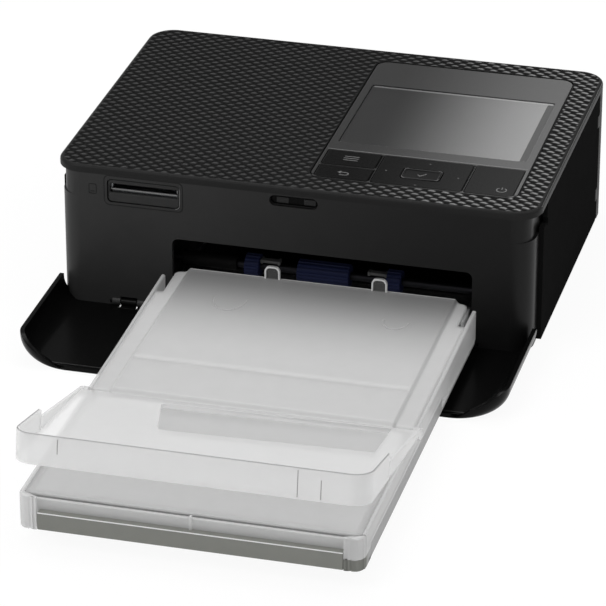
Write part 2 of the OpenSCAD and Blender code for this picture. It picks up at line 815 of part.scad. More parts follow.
module key_board() color("#1f5a3a") {
  y0 = front_y + panel_front + 1.5;
  translate([panel_x - panel_w / 2 + 2, y0, board_z]) cube([panel_w - 4, panel_d - 6, board_t]);
  for (p = concat([[side_key_x, menu_y], [side_key_x, back_key_y], [nav_x, ok_y],
      [power_x, key_row_y]], [for (q = nav_stems) [nav_x, key_row_y] + q]))
    translate([p[0], p[1], board_z + board_t + switch_h / 2]) cube([4, 4, switch_h], center = true);
  // spacers up to the display module and the panel's rim
  for (x = [panel_x - 30, panel_x + 30])
    translate([x, lit_y, board_z + board_t])
      cylinder(h = panel_top - panel_t - display_t - board_z - board_t, r = 2);
}

module main_board() color("#1f5a3a") {
  block(board_x0, board_x1, board_front, board_back, board_z, board_z + board_t);
  block(board_x0 + 22, board_x0 + 40, board_front + 26, board_front + 44, board_z + board_t,
    board_z + board_t + 1.4);
  block(board_x1 - 26, board_x1 - 14, board_front + 50, board_front + 62, board_z + board_t,
    board_z + board_t + 1.2);
  for (i = [0 : 2]) post(board_x0 + 8 + i * 9, board_front + 8, board_z - 7, board_z, 3);
  block(board_x0 + 4, board_x0 + 26, board_back - 14, board_back - 8, board_z - 6, board_z);
}

// Chassis side plate with a foot on the floor and holes for what turns in it
module chassis_plate(x, foot_from, foot_to) {
  block(x, x + chassis_t, plate_front, low_plate_u + 1, floor_z, low_plate_z);
  block(x, x + chassis_t, low_plate_u, plate_back, floor_z, board_z - 0.4);
  block(foot_from, foot_to, foot_front, plate_back - 6, floor_z, floor_z + chassis_t);
}

module shaft_holes(x) {
  for (p = [[pickup_at, pickup_shaft_r], [capstan_at, shaft_r - 0.4],
      [[capstan_u, pinch_z], axle_r], [platen_at, shaft_r],
      [[head_pivot_u, head_pivot_z], axle_r]])
    rod(x - 1, x + chassis_t + 1, p[0][0], p[0][1], p[1] + shaft_gap);
}

module chassis_left_plate() color("#a8abad") {
  difference() {
    chassis_plate(chassis_left, chassis_left - foot_w, chassis_left + chassis_t + foot_w);
    shaft_holes(chassis_left);
    for (p = [front_idler_at, rear_idler_at])
      rod(chassis_left - 1, chassis_left + chassis_t + 1, p[0], p[1], axle_r);
  }
  // fixed axles of the idlers
  for (p = [front_idler_at, rear_idler_at])
    rod(gear_x - gear_t - 1, chassis_left + chassis_t, p[0], p[1], axle_r);
}

module chassis_right_plate() color("#a8abad") {
  difference() {
    chassis_plate(chassis_right, chassis_right - foot_w, chassis_right + chassis_t + foot_w);
    shaft_holes(chassis_right);
    // way in for the ribbon cartridge
    block(chassis_right - 1, chassis_right + chassis_t + 1, takeup_u - takeup_r - 2,
      supply_u + supply_r + 2, path_z + 2.2, supply_z + supply_r + 1.2);
  }
}

module paper_guide() color("#8f9294") {
  difference() {
    block(chassis_left + chassis_t, chassis_right, guide_front, guide_back, path_z - guide_t,
      path_z);
    block(tray_x - roller_w / 2 - 1, tray_x + roller_w / 2 + 1, platen_u - platen_r - 0.6,
      platen_u + platen_r + 0.6, path_z - 2, path_z + 1);
    block(tray_x - roller_w / 2 - 1, tray_x + roller_w / 2 + 1, capstan_u - capstan_r - 0.6,
      capstan_u + capstan_r + 0.6, path_z - 2, path_z + 1);
  }
}

module pickup_shaft() color("#9a9890") {
  rod(gear_x - gear_t - 0.5, chassis_right + chassis_t + 1, pickup_u, pickup_z, pickup_shaft_r);
}

// Blue ribbed rollers: a core with ridges along it
module ribbed_roller(x0, x1) {
  ribs = 16;
  rod(x0, x1, pickup_u, pickup_z, pickup_r - 0.4);
  for (i = [0 : ribs - 1])
    translate([x0, fy(pickup_u), pickup_z]) rotate([i * 360 / ribs, 0, 0])
      translate([0, -0.45, pickup_r - 1]) cube([x1 - x0, 0.9, 1]);
}

module pickup_rollers() color("#23283f") {
  difference() {
    union() {
      ribbed_roller(tray_x - 32.4, tray_x - 26.8);
      ribbed_roller(tray_x - 12.2, tray_x + 7.6);
      ribbed_roller(tray_x + 21.8, tray_x + 27.2);
    }
    rod(chassis_left, chassis_right, pickup_u, pickup_z, pickup_shaft_r);
  }
}

module pickup_gear() color("#d8d6ce") gear_at(pickup_at, teeth_pickup, pickup_shaft_r, turn_pickup);

module idler_gear_front() color("#d8d6ce")
  gear_at(front_idler_at, teeth_front_idler, axle_r + shaft_gap, turn_front_idler);

module capstan_roller() color("#b4b6b8") {
  rod(tray_x - roller_w / 2, tray_x + roller_w / 2, capstan_u, capstan_z, capstan_r);
  rod(gear_x - gear_t - 0.5, chassis_right + chassis_t + 1, capstan_u, capstan_z, shaft_r - 0.4);
}

module capstan_gear() color("#d8d6ce")
  gear_at(capstan_at, teeth_capstan, shaft_r - 0.4, turn_capstan);

module pinch_roller() color("#2a2a2a") {
  rod(tray_x - roller_w / 2, tray_x + roller_w / 2, capstan_u, pinch_z, capstan_r);
  rod(chassis_left - 0.5, chassis_right + chassis_t + 0.5, capstan_u, pinch_z, axle_r);
}

module idler_gear_rear() color("#d8d6ce")
  gear_at(rear_idler_at, teeth_rear_idler, axle_r + shaft_gap, turn_rear_idler);

module platen_shaft() color("#b4b6b8") {
  rod(gear_x - gear_t - 0.5, chassis_right + chassis_t + 1, platen_u, platen_z, shaft_r);
}

module platen_roller() color("#3a3a3a") {
  difference() {
    rod(tray_x - roller_w / 2, tray_x + roller_w / 2, platen_u, platen_z, platen_r);
    rod(chassis_left, chassis_right, platen_u, platen_z, shaft_r);
  }
}

module platen_gear() color("#d8d6ce") gear_at(platen_at, teeth_platen, shaft_r, turn_platen);

module drive_motor() color("#7f8285") {
  difference() {
    rod(motor_x0, motor_x1, pinion_at[0], pinion_at[1], motor_r);
    rod(motor_x1 - 6, motor_x1 + 1, pinion_at[0], pinion_at[1], 1 + shaft_gap);
  }
}

module motor_bracket() color("#a8abad") {
  difference() {
    union() {
      block(motor_x1, motor_x1 + chassis_t, pinion_at[0] - 12, pinion_at[0] + 12, floor_z,
        pinion_at[1] + motor_r);
      block(motor_x1 - 12, motor_x1 + chassis_t, pinion_at[0] - 12, pinion_at[0] + 12, floor_z,
        floor_z + chassis_t);
    }
    rod(motor_x1 - 1, motor_x1 + chassis_t + 1, pinion_at[0], pinion_at[1], 3);
  }
}

module motor_pinion() color("#c9a95c") {
  gear_at(pinion_at, teeth_pinion, 0.9, turn_pinion);
  rod(motor_x1 - 5, gear_x, pinion_at[0], pinion_at[1], 1);
}

module head_arm() color("#a8abad") {
  x0 = chassis_left + chassis_t + 1;
  x1 = chassis_right - 1;
  block(x0, x1, platen_u - 3, head_pivot_u, head_pivot_z - 0.5, head_pivot_z + 0.7);
  block(x0 + 12, x1 - 12, platen_u - 3, platen_u - 1.8, 33, head_pivot_z);
  rod(chassis_left - 0.5, chassis_right + chassis_t + 0.5, head_pivot_u, head_pivot_z, axle_r);
}

module thermal_head() color("#c2c4c6") {
  block(tray_x - 51, tray_x + 51, platen_u - 6, platen_u + 6, path_z + 3.4, 28);
  block(tray_x - 50, tray_x + 50, platen_u - 1, platen_u + 1, path_z + 0.4, path_z + 3.5);
  for (i = [0 : 3])
    block(tray_x - 48, tray_x + 48, platen_u - 1.8 + i * 2.2, platen_u - 0.6 + i * 2.2, 28 - eps, 38);
}

// One chamber of the ribbon cartridge: a tube with a slot for the film
module chamber(u, z, r, slot_u) {
  difference() {
    rod(cartridge_left, cartridge_right, u, z, r);
    rod(cartridge_left + cartridge_wall, cartridge_right - cartridge_wall, u, z, r - cartridge_wall);
    rod(cartridge_left - 1, cartridge_right + 1, u, z, 2 + shaft_gap);
    block(cartridge_left + 4, cartridge_right - 4, slot_u - 1.5, slot_u + 1.5, 0, z);
  }
}

module ribbon_cartridge() color("#4b4d50") {
  chamber(supply_u, supply_z, supply_r, supply_u - supply_r + 3);
  chamber(takeup_u, takeup_z, takeup_r, takeup_u + takeup_r - 3);
  for (x = [cartridge_left, cartridge_right - bridge_w])
    difference() {
      block(x, x + bridge_w, takeup_u, supply_u, bridge_z, bridge_z + bridge_h);
      rod(x - 1, x + 4, supply_u, supply_z, supply_r - cartridge_wall);
      rod(x - 1, x + 4, takeup_u, takeup_z, takeup_r - cartridge_wall);
    }
}

module spool(u, z, film_r) {
  rod(cartridge_left + 2, cartridge_right - 2, u, z, film_r);
  rod(cartridge_left, cartridge_right, u, z, 2);
}

module supply_spool() color("#6b5a86") spool(supply_u, supply_z, supply_r - cartridge_wall - 1.2);

module takeup_spool() color("#6b5a86") spool(takeup_u, takeup_z, core_r);

// Cylinder along Y on the power inlet's axis, from one distance behind its face to another
module inlet_rod(from, to, r) {
  translate([dc_x, fy(dc_face - from), dc_z]) rotate([-90, 0, 0]) cylinder(h = from - to, r = r);
}

module dc_inlet() color("#202020") {
  difference() {
    union() {
      inlet_rod(dc_l, 0, dc_r);
      block(dc_x - dc_r - 1, dc_x + dc_r + 1, dc_face - dc_l - 2, body_d - case_wall - 0.1, floor_z,
        dc_z);
    }
    // mouth for the plug's sleeve, and the narrower hole with the contact behind it
    inlet_rod(dc_mouth, -1, dc_bore);
    inlet_rod(dc_depth, 0, dc_bore - 0.4);
  }
  inlet_rod(dc_depth + 1, dc_mouth + 0.3, dc_contact_r);
}

module usb_socket() color("#b4b6b8") {
  difference() {
    block(usb_x - usb_w / 2, usb_x + usb_w / 2, body_d - 9, body_d - 0.3, usb_z - usb_h / 2,
      usb_z + usb_h / 2);
    block(usb_x - usb_w / 2 + usb_wall, usb_x + usb_w / 2 - usb_wall, body_d - 8, body_d,
      usb_z - usb_h / 2 + usb_wall, usb_z + usb_h / 2 - usb_wall);
  }
  block(usb_x - 3.3, usb_x + 3.3, body_d - 8.2, body_d - 1.5, usb_z - 0.35, usb_z + 0.35);
  block(usb_x - usb_w / 2, usb_x + usb_w / 2, body_d - 9, body_d - 2.2, floor_z, usb_z - usb_h / 2);
}

module cassette_tray() color("#7d7e7b") {
  front = -cassette_reach;
  difference() {
    union() {
      slab(tray_x, fy((front + bar_t - tray_gap) / 2), cassette_z, tray_floor_top, cassette_w,
        -front - bar_t - tray_gap, 4);
      block(tray_x - insert_half, tray_x + insert_half, -tray_gap - 5, insert_l, cassette_z,
        tray_floor_top);
      for (s = [-1, 1])
        block(tray_x + (s > 0 ? tray_half - cassette_wall : -tray_half),
          tray_x + (s > 0 ? tray_half : cassette_wall - tray_half), front + bar_t + post_l,
          -skirt_back, cassette_z, cassette_z + skirt_h);
      block(tray_x - bar_half, tray_x + bar_half, front, front + bar_t, cassette_z,
        cassette_z + bar_h);
      block(tray_x - bar_half + 3, tray_x + bar_half - 3, front + bar_t - 1, front + bar_t + 1,
        cassette_z, tray_floor_top);
    }
    // slots for the lifting levers
    for (x = [-24, 24])
      block(tray_x + x - 3, tray_x + x + 3, -6, 10, cassette_z - 1, tray_floor_top + 1);
  }
}

module cassette_walls() color("#d6d8d6b0") {
  front = -cassette_reach;
  difference() {
    union() {
      for (s = [-1, 1]) mirror([s > 0 ? 0 : 1, 0, 0])
        translate([s > 0 ? tray_x : -tray_x, 0, 0]) {
          // long side wall on the skirt, then down to the floor beside the ears
          block(tray_half - cassette_wall, tray_half, front + 6, -skirt_back + 0.5,
            cassette_z + skirt_h, wall_top);
          block(tray_half - cassette_wall, tray_half, -skirt_back, -ear_back, tray_floor_top,
            wall_top + 0.8);
          // boss for the output cover's pin
          rod(tray_half - cassette_wall, tray_half, cover_axis_u, cover_axis_z, cover_boss_r);
          // front corner post
          difference() {
            slab(tray_half - 5, fy(front + 5), cassette_z, wall_top, 10, 10, 4);
            slab(tray_half - 5, fy(front + 5), cassette_z - 1, wall_top + 1, 10 - 2 * cassette_wall,
              10 - 2 * cassette_wall, 4 - cassette_wall);
            block(0, bar_half + 0.1, front - 1, front + 20, 0, 40);
            block(0, tray_half - cassette_wall, front + 6, front + 20, 0, 40);
            block(0, tray_half + 1, front + bar_t, front + 20, 0, tray_floor_top);
            block(0, tray_half + 1, front + bar_t + post_l, front + 20, 0, cassette_z + skirt_h);
          }
          // wall beside the paper inside the body
          block(insert_half - cassette_wall, insert_half, -tray_gap - 4, insert_l, tray_floor_top,
            insert_wall_top);
          block(insert_half - eps, tray_half - cassette_wall + eps, -tray_gap - 4,
            -tray_gap - 4 + cassette_wall, tray_floor_top, insert_wall_top);
        }
      block(tray_x - tray_half + 0.5, tray_x + tray_half - 0.5, front + bar_t,
        front + bar_t + cassette_wall, tray_floor_top, wall_top - 2.2);
      block(tray_x - insert_half, tray_x + insert_half, insert_l - cassette_wall, insert_l,
        tray_floor_top, insert_back_top);
    }
    for (s = [-1, 1])
      rod(tray_x + (s > 0 ? tray_half - 4 : -tray_half - 2), tray_x + (s > 0 ? tray_half + 2 : 4 - tray_half),
        cover_axis_u, cover_axis_z, cover_pin_r + shaft_gap);
    // the ears slope down towards the front from their pointed tips
    ear_l = skirt_back - ear_back - 6;
    translate([-body_w, fy(-skirt_back - 1), wall_top]) cube([2 * body_w, 1 + eps, 5]);
    translate([-body_w, fy(-skirt_back), wall_top]) rotate([atan(0.8 / ear_l), 0, 0])
      cube([2 * body_w, ear_l, 5]);
  }
}

module cassette_rear_lid() color("#d9dbd9c0") {
  ledge_half = tray_half - cassette_wall;
  difference() {
    union() {
      block(tray_x - plateau_w / 2, tray_x + plateau_w / 2, -lid_front, lid_back,
        plateau_top - lid_t, plateau_top);
      for (s = [-1, 1])
        block(tray_x + (s > 0 ? plateau_w / 2 - lid_t : -ledge_half),
          tray_x + (s > 0 ? ledge_half : lid_t - plateau_w / 2), -lid_front, -tray_gap,
          wall_top - lid_t, wall_top);
      for (s = [-1, 1])
        block(tray_x + (s > 0 ? plateau_w / 2 - lid_t : -slit_edge),
          tray_x + (s > 0 ? slit_edge : lid_t - plateau_w / 2), -tray_gap - 1, lid_back - 1,
          wall_top - lid_t, wall_top);
      // upright tongues at the rear edge
      for (x = [tray_x - 18.6, tray_x + 21.9])
        block(x - 2.6, x + 2.6, -0.2, lid_back, plateau_top - lid_t, plateau_top + 4.6);
    }
    // room for the bosses and the slits beside the ears
    for (s = [-1, 1]) {
      rod(tray_x + (s > 0 ? ledge_half - 1 : -ledge_half - 1),
        tray_x + (s > 0 ? ledge_half + 1 : 1 - ledge_half), cover_axis_u, cover_axis_z,
        cover_boss_r + 0.3);
      block(tray_x + (s > 0 ? slit_edge : -ledge_half - 1),
        tray_x + (s > 0 ? ledge_half + 1 : -slit_edge), -slit_l, 0, wall_top - 3, wall_top + 1);
    }
  }
}

module cassette_inner_lid() color("#d9dbd9c0") {
  half = tray_half - cassette_wall;
  difference() {
    union() {
      block(tray_x - half, tray_x + half, -inner_lid_front, -lid_front - 0.3, inner_lid_top - lid_t,
        inner_lid_top);
      block(tray_x - half, tray_x + half, -inner_lid_front, -inner_lid_front + lid_t,
        tray_floor_top + 2, inner_lid_top);
    }
    for (s = [-1, 1])
      block(tray_x + (s > 0 ? half - 3 : -half - 1), tray_x + (s > 0 ? half + 1 : 3 - half),
        cover_axis_u - cover_boss_r - 1, -lid_front, 0, 40);
  }
}

module lift_plate() color("#a9acae") {
  block(tray_x - lift_half, tray_x + lift_half, -lift_back, insert_l - 4, tray_floor_top + 0.1,
    tray_floor_top + 1);
}

// The output cover in its own plane: v runs out from the hinge, w up from the underside
module cover_side(points) {
  rotate([90, 0, -90]) linear_extrude(cover_wall) polygon(points);
}

module output_cover() color("#dcdedcc0") {
  half = cover_w / 2;
  slot_end = cover_slit + cover_slit_w;
  plate_l = cover_l - cover_start;
  middle = -(cover_l + cover_start) / 2;
  translate([tray_x, fy(cover_axis_u), cover_axis_z]) rotate([-cover_tilt, 0, 0]) {
    // floor with its window
    difference() {
      union() {
        translate([0, middle, cover_floor_w0]) linear_extrude(cover_floor_t)
          rounded(2 * half, plate_l, cover_corner_r);
        translate([-half, -cover_corner_r - cover_start, cover_floor_w0])
          cube([2 * half, cover_corner_r, cover_floor_t]);
      }
      translate([window_x0, -cover_start - 1 - cover_window_l, -1])
        cube([window_x1 - window_x0, cover_window_l, 20]);
    }
    // side walls that grow from the hinge to the slits
    for (x = [half, cover_wall - half])
      translate([x, 0, 0]) cover_side([[-2.4, -1.8], [-2.4, 1.6], [1, 2.6], [cover_slit, 6.8],
        [cover_slit, cover_floor_w0 + 0.1], [4, cover_floor_w0 + 0.1], [2, -1.8]]);
    // front wall and its ears, with rounded corners
    difference() {
      translate([0, middle, cover_floor_w0]) linear_extrude(cover_h)
        rounded(2 * half, plate_l, cover_corner_r);
      translate([0, middle, 0]) linear_extrude(2 * cover_h)
        rounded(2 * (half - cover_wall), plate_l - 2 * cover_wall, cover_corner_r - cover_wall);
      translate([-half - 1, -slot_end, -1]) cube([2 * half + 2, slot_end + 10, 40]);
      // the ears slope towards the slits
      translate([-half - 1, -slot_end, cover_h - 1.2]) rotate([-4, 0, 0])
        translate([0, -25, 0]) cube([2 * half + 2, 30, 10]);
    }
    for (s = [-1, 1])
      translate([s > 0 ? half - cover_wall - 2.6 : -half, 0, 0]) rotate([0, 90, 0])
        cylinder(h = cover_wall + 2.6, r = cover_pin_r);
  }
}

base_shell();
front_shell();
left_side_panel();
rear_panel();
top_cover();
side_cover();
side_cover_pins();
rubber_feet();
case_screws();
front_door();
door_hinge_pins();
door_catch();
card_slot_frame();
card_socket();
control_panel();
display_window();
display_module();
menu_key();
back_key();
navigation_key();
ok_key();
power_key();
key_board();
main_board();
chassis_left_plate();
chassis_right_plate();
paper_guide();
pickup_shaft();
pickup_rollers();
pickup_gear();
idler_gear_front();
capstan_roller();
capstan_gear();
pinch_roller();
idler_gear_rear();
platen_shaft();
platen_roller();
platen_gear();
drive_motor();
motor_bracket();
motor_pinion();
head_arm();
thermal_head();
ribbon_cartridge();
supply_spool();
takeup_spool();
dc_inlet();
usb_socket();
cassette_tray();
cassette_walls();
cassette_rear_lid();
cassette_inner_lid();
lift_plate();
output_cover();
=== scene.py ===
"""Looks of a compact photo printer with an open front door and a paper cassette.

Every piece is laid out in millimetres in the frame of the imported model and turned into
metres when its mesh is made. The front faces -Y and the origin is on the table.
"""

import json
import math

import bmesh
import bpy
import numpy as np
from bpy.props import FloatProperty, FloatVectorProperty, PointerProperty
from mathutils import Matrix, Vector
from mathutils.geometry import tessellate_polygon

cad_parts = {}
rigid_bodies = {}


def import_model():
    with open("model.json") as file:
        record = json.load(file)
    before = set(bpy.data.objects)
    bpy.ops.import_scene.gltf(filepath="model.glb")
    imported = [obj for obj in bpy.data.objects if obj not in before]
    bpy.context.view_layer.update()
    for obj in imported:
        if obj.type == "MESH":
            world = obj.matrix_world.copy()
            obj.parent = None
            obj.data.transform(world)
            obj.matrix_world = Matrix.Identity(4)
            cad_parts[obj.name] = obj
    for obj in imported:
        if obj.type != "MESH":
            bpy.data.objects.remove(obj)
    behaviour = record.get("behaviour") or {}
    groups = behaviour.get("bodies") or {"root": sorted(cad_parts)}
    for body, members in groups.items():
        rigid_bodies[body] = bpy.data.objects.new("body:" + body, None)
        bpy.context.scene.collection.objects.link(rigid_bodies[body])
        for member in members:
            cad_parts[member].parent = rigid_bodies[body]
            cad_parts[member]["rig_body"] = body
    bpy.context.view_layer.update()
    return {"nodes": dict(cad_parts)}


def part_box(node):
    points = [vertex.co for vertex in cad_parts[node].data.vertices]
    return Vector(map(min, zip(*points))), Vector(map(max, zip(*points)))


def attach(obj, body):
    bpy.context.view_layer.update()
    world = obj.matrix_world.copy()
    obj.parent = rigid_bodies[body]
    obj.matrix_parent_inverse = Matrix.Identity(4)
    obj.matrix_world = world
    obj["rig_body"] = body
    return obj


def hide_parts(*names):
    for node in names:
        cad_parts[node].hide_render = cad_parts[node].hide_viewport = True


bl_info = {
    "name": "Compact photo printer",
    "version": (1, 0, 0),
    "blender": (4, 5, 0),
    "location": "View3D > Sidebar > Printer",
    "description": "Pieces, finishes and stage of a compact photo printer",
    "category": "Object",
}

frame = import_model()
MM = 0.001
NODES = frame["nodes"]


def extent(node):
    """Lowest and highest corner of a solid of the frame, in millimetres."""
    low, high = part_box(node)
    return np.array(low) / MM, np.array(high) / MM


def plan(node):
    """Centre x and y, width and depth of a solid of the frame, seen from above."""
    low, high = extent(node)
    return (low[0] + high[0]) / 2, (low[1] + high[1]) / 2, high[0] - low[0], high[1] - low[1]


# The case: its front, back and top, the upper rim of its sides, and half its width
FRONT = extent("top_cover")[0][1]
BACK = extent("top_cover")[1][1]
TOP = extent("top_cover")[1][2]
RIM = extent("left_side_panel")[1][2]
HALF = extent("top_cover")[1][0]
# Turns a form that is drawn flat so that its top faces the front
UPRIGHT = [[1, 0, 0], [0, 0, -1], [0, 1, 0]]


# Mesh building

def outline(corners, radii, steps=7):
    """Closed path round a polygon given counterclockwise, its corners turned into arcs.

    Each corner of radius r becomes the points centre + r (cos a, sin a) between its two
    tangent points. Returns the points and, for each, the unit vector that points outwards.
    """
    c = np.asarray(corners, float)
    r = np.broadcast_to(np.asarray(radii, float), len(c)).copy()
    into = c - np.roll(c, 1, 0)
    into /= np.linalg.norm(into, axis=1)[:, None]
    away = np.roll(into, -1, 0)
    turn = np.arctan2(into[:, 0] * away[:, 1] - into[:, 1] * away[:, 0], (into * away).sum(1))
    side = np.sign(turn)
    start = c - into * (r * np.tan(np.abs(turn) / 2))[:, None]
    right = np.stack([into[:, 1], -into[:, 0]], 1)
    centre = start - right * (r * side)[:, None]
    a = turn[:, None] * np.linspace(0, 1, steps)[None, :]
    out = np.stack([right[:, :1] * np.cos(a) - right[:, 1:] * np.sin(a),
                    right[:, :1] * np.sin(a) + right[:, 1:] * np.cos(a)], -1)
    points = centre[:, None, :] + out * (r * side)[:, None, None]
    return points.reshape(-1, 2), out.reshape(-1, 2)


def rounded_box(x, y, w, d, r, steps=7):
    """Outline of a rectangle of width w and depth d about (x, y) with corners of radius r."""
    return outline([(x - w / 2, y - d / 2), (x + w / 2, y - d / 2), (x + w / 2, y + d / 2),
                    (x - w / 2, y + d / 2)], r, steps)


def spread(path, step, closed=True):
    """The same path with points added along its straight runs, none further apart than step."""
    points, out = path
    if closed:
        points, out = np.vstack([points, points[:1]]), np.vstack([out, out[:1]])
    gap = np.linalg.norm(np.diff(points, axis=0), axis=1)
    count = np.maximum(1, np.ceil(gap / step)).astype(int)
    t = np.concatenate([i + np.arange(n) / n for i, n in enumerate(count)] + [[len(count)]])
    if closed:
        t = t[:-1]
    i = np.arange(len(points))
    dense = [np.stack([np.interp(t, i, a[:, k]) for k in range(a.shape[1])], 1)
             for a in (points, out)]
    return dense[0], dense[1]


def softened_line(points, radii, steps=4, rest=0.05):
    """Open line with its inner corners turned into arcs, with a point just beside each arc
    on either side so that the flat runs stay flat when they are shaded."""
    p = np.asarray(points, float)
    r = np.asarray(radii, float)
    line = [p[:1]]
    for k in range(1, len(p) - 1):
        a, b = p[k - 1] - p[k], p[k + 1] - p[k]
        la, lb = np.linalg.norm(a), np.linalg.norm(b)
        a, b = a / la, b / lb
        half = math.acos(np.clip(a @ b, -1, 1)) / 2
        reach = r[k] / math.tan(half)
        if reach < 1e-4:
            line.append(p[k:k + 1])
            continue
        centre = p[k] + (a + b) / np.linalg.norm(a + b) * r[k] / math.sin(half)
        p0, p1 = p[k] + a * reach - centre, p[k] + b * reach - centre
        t = np.linspace(0, 1, steps)[:, None]
        w = math.pi - 2 * half
        arc = (np.sin((1 - t) * w) * p0 + np.sin(t * w) * p1) / math.sin(w) + centre
        line += [arc[:1] + a * rest, arc, arc[-1:] + b * rest]
    line.append(p[-1:])
    return np.vstack(line)


class Surface:
    """Vertices in millimetres and faces, gathered from grids and flat fills."""

    def __init__(self):
        self.verts = []
        self.faces = []
        self.relief = []
        self.count = 0

    def add(self, xyz, faces, relief=None):
        self.verts.append(np.asarray(xyz, float).reshape(-1, 3))
        flat = np.zeros(len(self.verts[-1])) if relief is None else np.ravel(relief)
        self.relief.append(flat)
        self.faces += [tuple(f) for f in (np.asarray(faces) + self.count).tolist()]
        self.count += len(self.verts[-1])

    def grid(self, xyz, wrap_rows=False, wrap_cols=False, keep=None, relief=None):
        """Four-sided faces between neighbouring points of a grid of rows and columns."""
        rows, cols = xyz.shape[:2]
        r = np.arange(rows if wrap_rows else rows - 1)
        c = np.arange(cols if wrap_cols else cols - 1)
        a, b = r[:, None] * cols, (r[:, None] + 1) % rows * cols
        i, j = c[None, :], (c[None, :] + 1) % cols
        faces = np.stack([a + i, a + j, b + j, b + i], -1)
        if keep is not None:
            faces = faces[keep]
        self.add(xyz, faces.reshape(-1, 4), relief)

    def fill(self, *rings, relief=None):
        """Flat face inside the first ring and outside the others."""
        tris = tessellate_polygon([[Vector(p) for p in ring] for ring in rings])
        self.add(np.vstack(rings), tris, relief)

    def lathe(self, centre, axis, profile, turns=32, wave=None):
        """Profile of (radius, distance along the axis) turned round an axis, ends filled."""
        a = np.linspace(0, 2 * math.pi, turns, endpoint=False)
        k = {"x": 0, "y": 1, "z": 2}[axis]
        u, v = (k + 1) % 3, (k + 2) % 3
        p = np.asarray(profile, float)
        radius = p[:, :1] * (1 if wave is None else wave(a))
        xyz = np.zeros((len(p), turns, 3))
        xyz[..., k] = p[:, 1:]
        xyz[..., u] = radius * np.cos(a)
        xyz[..., v] = radius * np.sin(a)
        xyz += np.asarray(centre, float)
        self.grid(xyz, wrap_cols=True)
        self.fill(xyz[0])
        self.fill(xyz[-1])

    def plate(self, outer, holes, z0, z1, edge=0.3, under=0.1, steps=4):
        """Flat plate: each outline is carried up the profile quarter round of radius under,
        straight wall, quarter round of radius edge, and the flats are filled between."""
        profile = softened_line([(-under - 0.1, z0), (0, z0), (0, z1), (-edge - 0.1, z1)],
                                [0, under, edge, 0], steps, 0.04)
        rings = []
        for k, (points, out) in enumerate([outer] + list(holes)):
            sign = 1 if k == 0 else -1
            xy = points[None] + sign * profile[:, :1, None] * out[None]
            z = np.broadcast_to(profile[:, 1:2], xy.shape[:2])
            xyz = np.concatenate([xy, z[..., None]], -1)
            self.grid(xyz, wrap_cols=True)
            rings.append(xyz)
        self.fill(*[r[0] for r in rings])
        self.fill(*[r[-1] for r in rings])

    def box(self, low, high, r):
        """Upright box with rounded edges between two corners."""
        low, high = np.array(low, float), np.array(high, float)
        r = min(r, *((high - low) / 2.2))
        mid, size = (low + high) / 2, high - low
        self.plate(rounded_box(mid[0], mid[1], size[0], size[1], r, 4), [], low[2], high[2],
                   edge=r * 0.9, under=r * 0.5)

    def tube(self, centre, axis, radius, bore, z0, z1):
        """Pipe along an axis, from z0 to z1 of it."""
        loop = softened_line([(bore, (z0 + z1) / 2), (bore, z0), (radius, z0), (radius, z1),
                              (bore, z1), (bore, (z0 + z1) / 2)], [0, 0.15, 0.15, 0.15, 0.15, 0])
        turns = 32
        a = np.linspace(0, 2 * math.pi, turns, endpoint=False)
        k = {"x": 0, "y": 1, "z": 2}[axis]
        xyz = np.zeros((len(loop) - 1, turns, 3))
        xyz[..., k] = loop[:-1, 1:]
        xyz[..., (k + 1) % 3] = loop[:-1, :1] * np.cos(a)
        xyz[..., (k + 2) % 3] = loop[:-1, :1] * np.sin(a)
        self.grid(xyz + np.asarray(centre, float), wrap_rows=True, wrap_cols=True)

    def bar(self, line, width, z0, z1):
        """Flat bar of a width along a line in the plane, from z0 to z1."""
        p = np.asarray(line, float)
        d = np.diff(p, axis=0)
        d /= np.linalg.norm(d, axis=1)[:, None]
        a, b = np.vstack([d[:1], d]), np.vstack([d, d[-1:]])
        n = np.stack([a[:, 1] + b[:, 1], -a[:, 0] - b[:, 0]], 1)
        n /= ((n[:, 0] * a[:, 1] - n[:, 1] * a[:, 0]))[:, None]
        off = np.array([-0.5, 0.5, 0.5, 0.38, -0.38, -0.5]) * width
        z = np.array([z0, z0, z1 - 0.04 * width, z1, z1, z1 - 0.04 * width])
        xy = p[:, None] + n[:, None] * off[None, :, None]
        xyz = np.concatenate([xy, np.broadcast_to(z, xy.shape[:2])[..., None]], -1)
        self.grid(xyz, wrap_cols=True)
        self.fill(xyz[0])
        self.fill(xyz[-1])

    def strip(self, points, out, low, high, wall, edge=0.3):
        """Upright strip with a rounded top, carried along a path, its two ends filled."""
        off = np.array([0, -wall, -wall, -wall + edge, -edge, 0])
        share = np.array([0, 0, 1, 1, 1, 1])
        drop = np.array([0, 0, edge, 0, 0, edge])
        z = low[:, None] + (high - low)[:, None] * share - drop
        xy = points[:, None] + out[:, None] * off[None, :, None]
        xyz = np.concatenate([xy, z[..., None]], -1)
        self.grid(xyz, wrap_cols=True)
        self.fill(xyz[0])
        self.fill(xyz[-1])

    def tilt(self, matrix, shift):
        """Turns everything gathered so far by a 3 by 3 matrix and moves it."""
        self.verts = [v @ np.asarray(matrix).T + np.asarray(shift) for v in self.verts]

    def piece(self, name, finish, body, slot, *stands_for, angle=32, merge=0.004):
        """Makes the object: metres, doubled points merged, normals outwards, smooth."""
        mesh = bpy.data.meshes.new(name)
        mesh.from_pydata((np.vstack(self.verts) * MM).tolist(), [], self.faces)
        # relief attribute: each point's share of painted highlight or shade, read by the finish
        relief = mesh.attributes.new("relief", "FLOAT", "POINT")
        relief.data.foreach_set("value", np.concatenate(self.relief))
        form = bmesh.new()
        form.from_mesh(mesh)
        bmesh.ops.remove_doubles(form, verts=form.verts, dist=merge * MM)
        bmesh.ops.dissolve_degenerate(form, edges=form.edges, dist=merge * MM / 4)
        bmesh.ops.recalc_face_normals(form, faces=form.faces)
        form.to_mesh(mesh)
        form.free()
        return placed(name, mesh, finish, body, stands_for, angle)


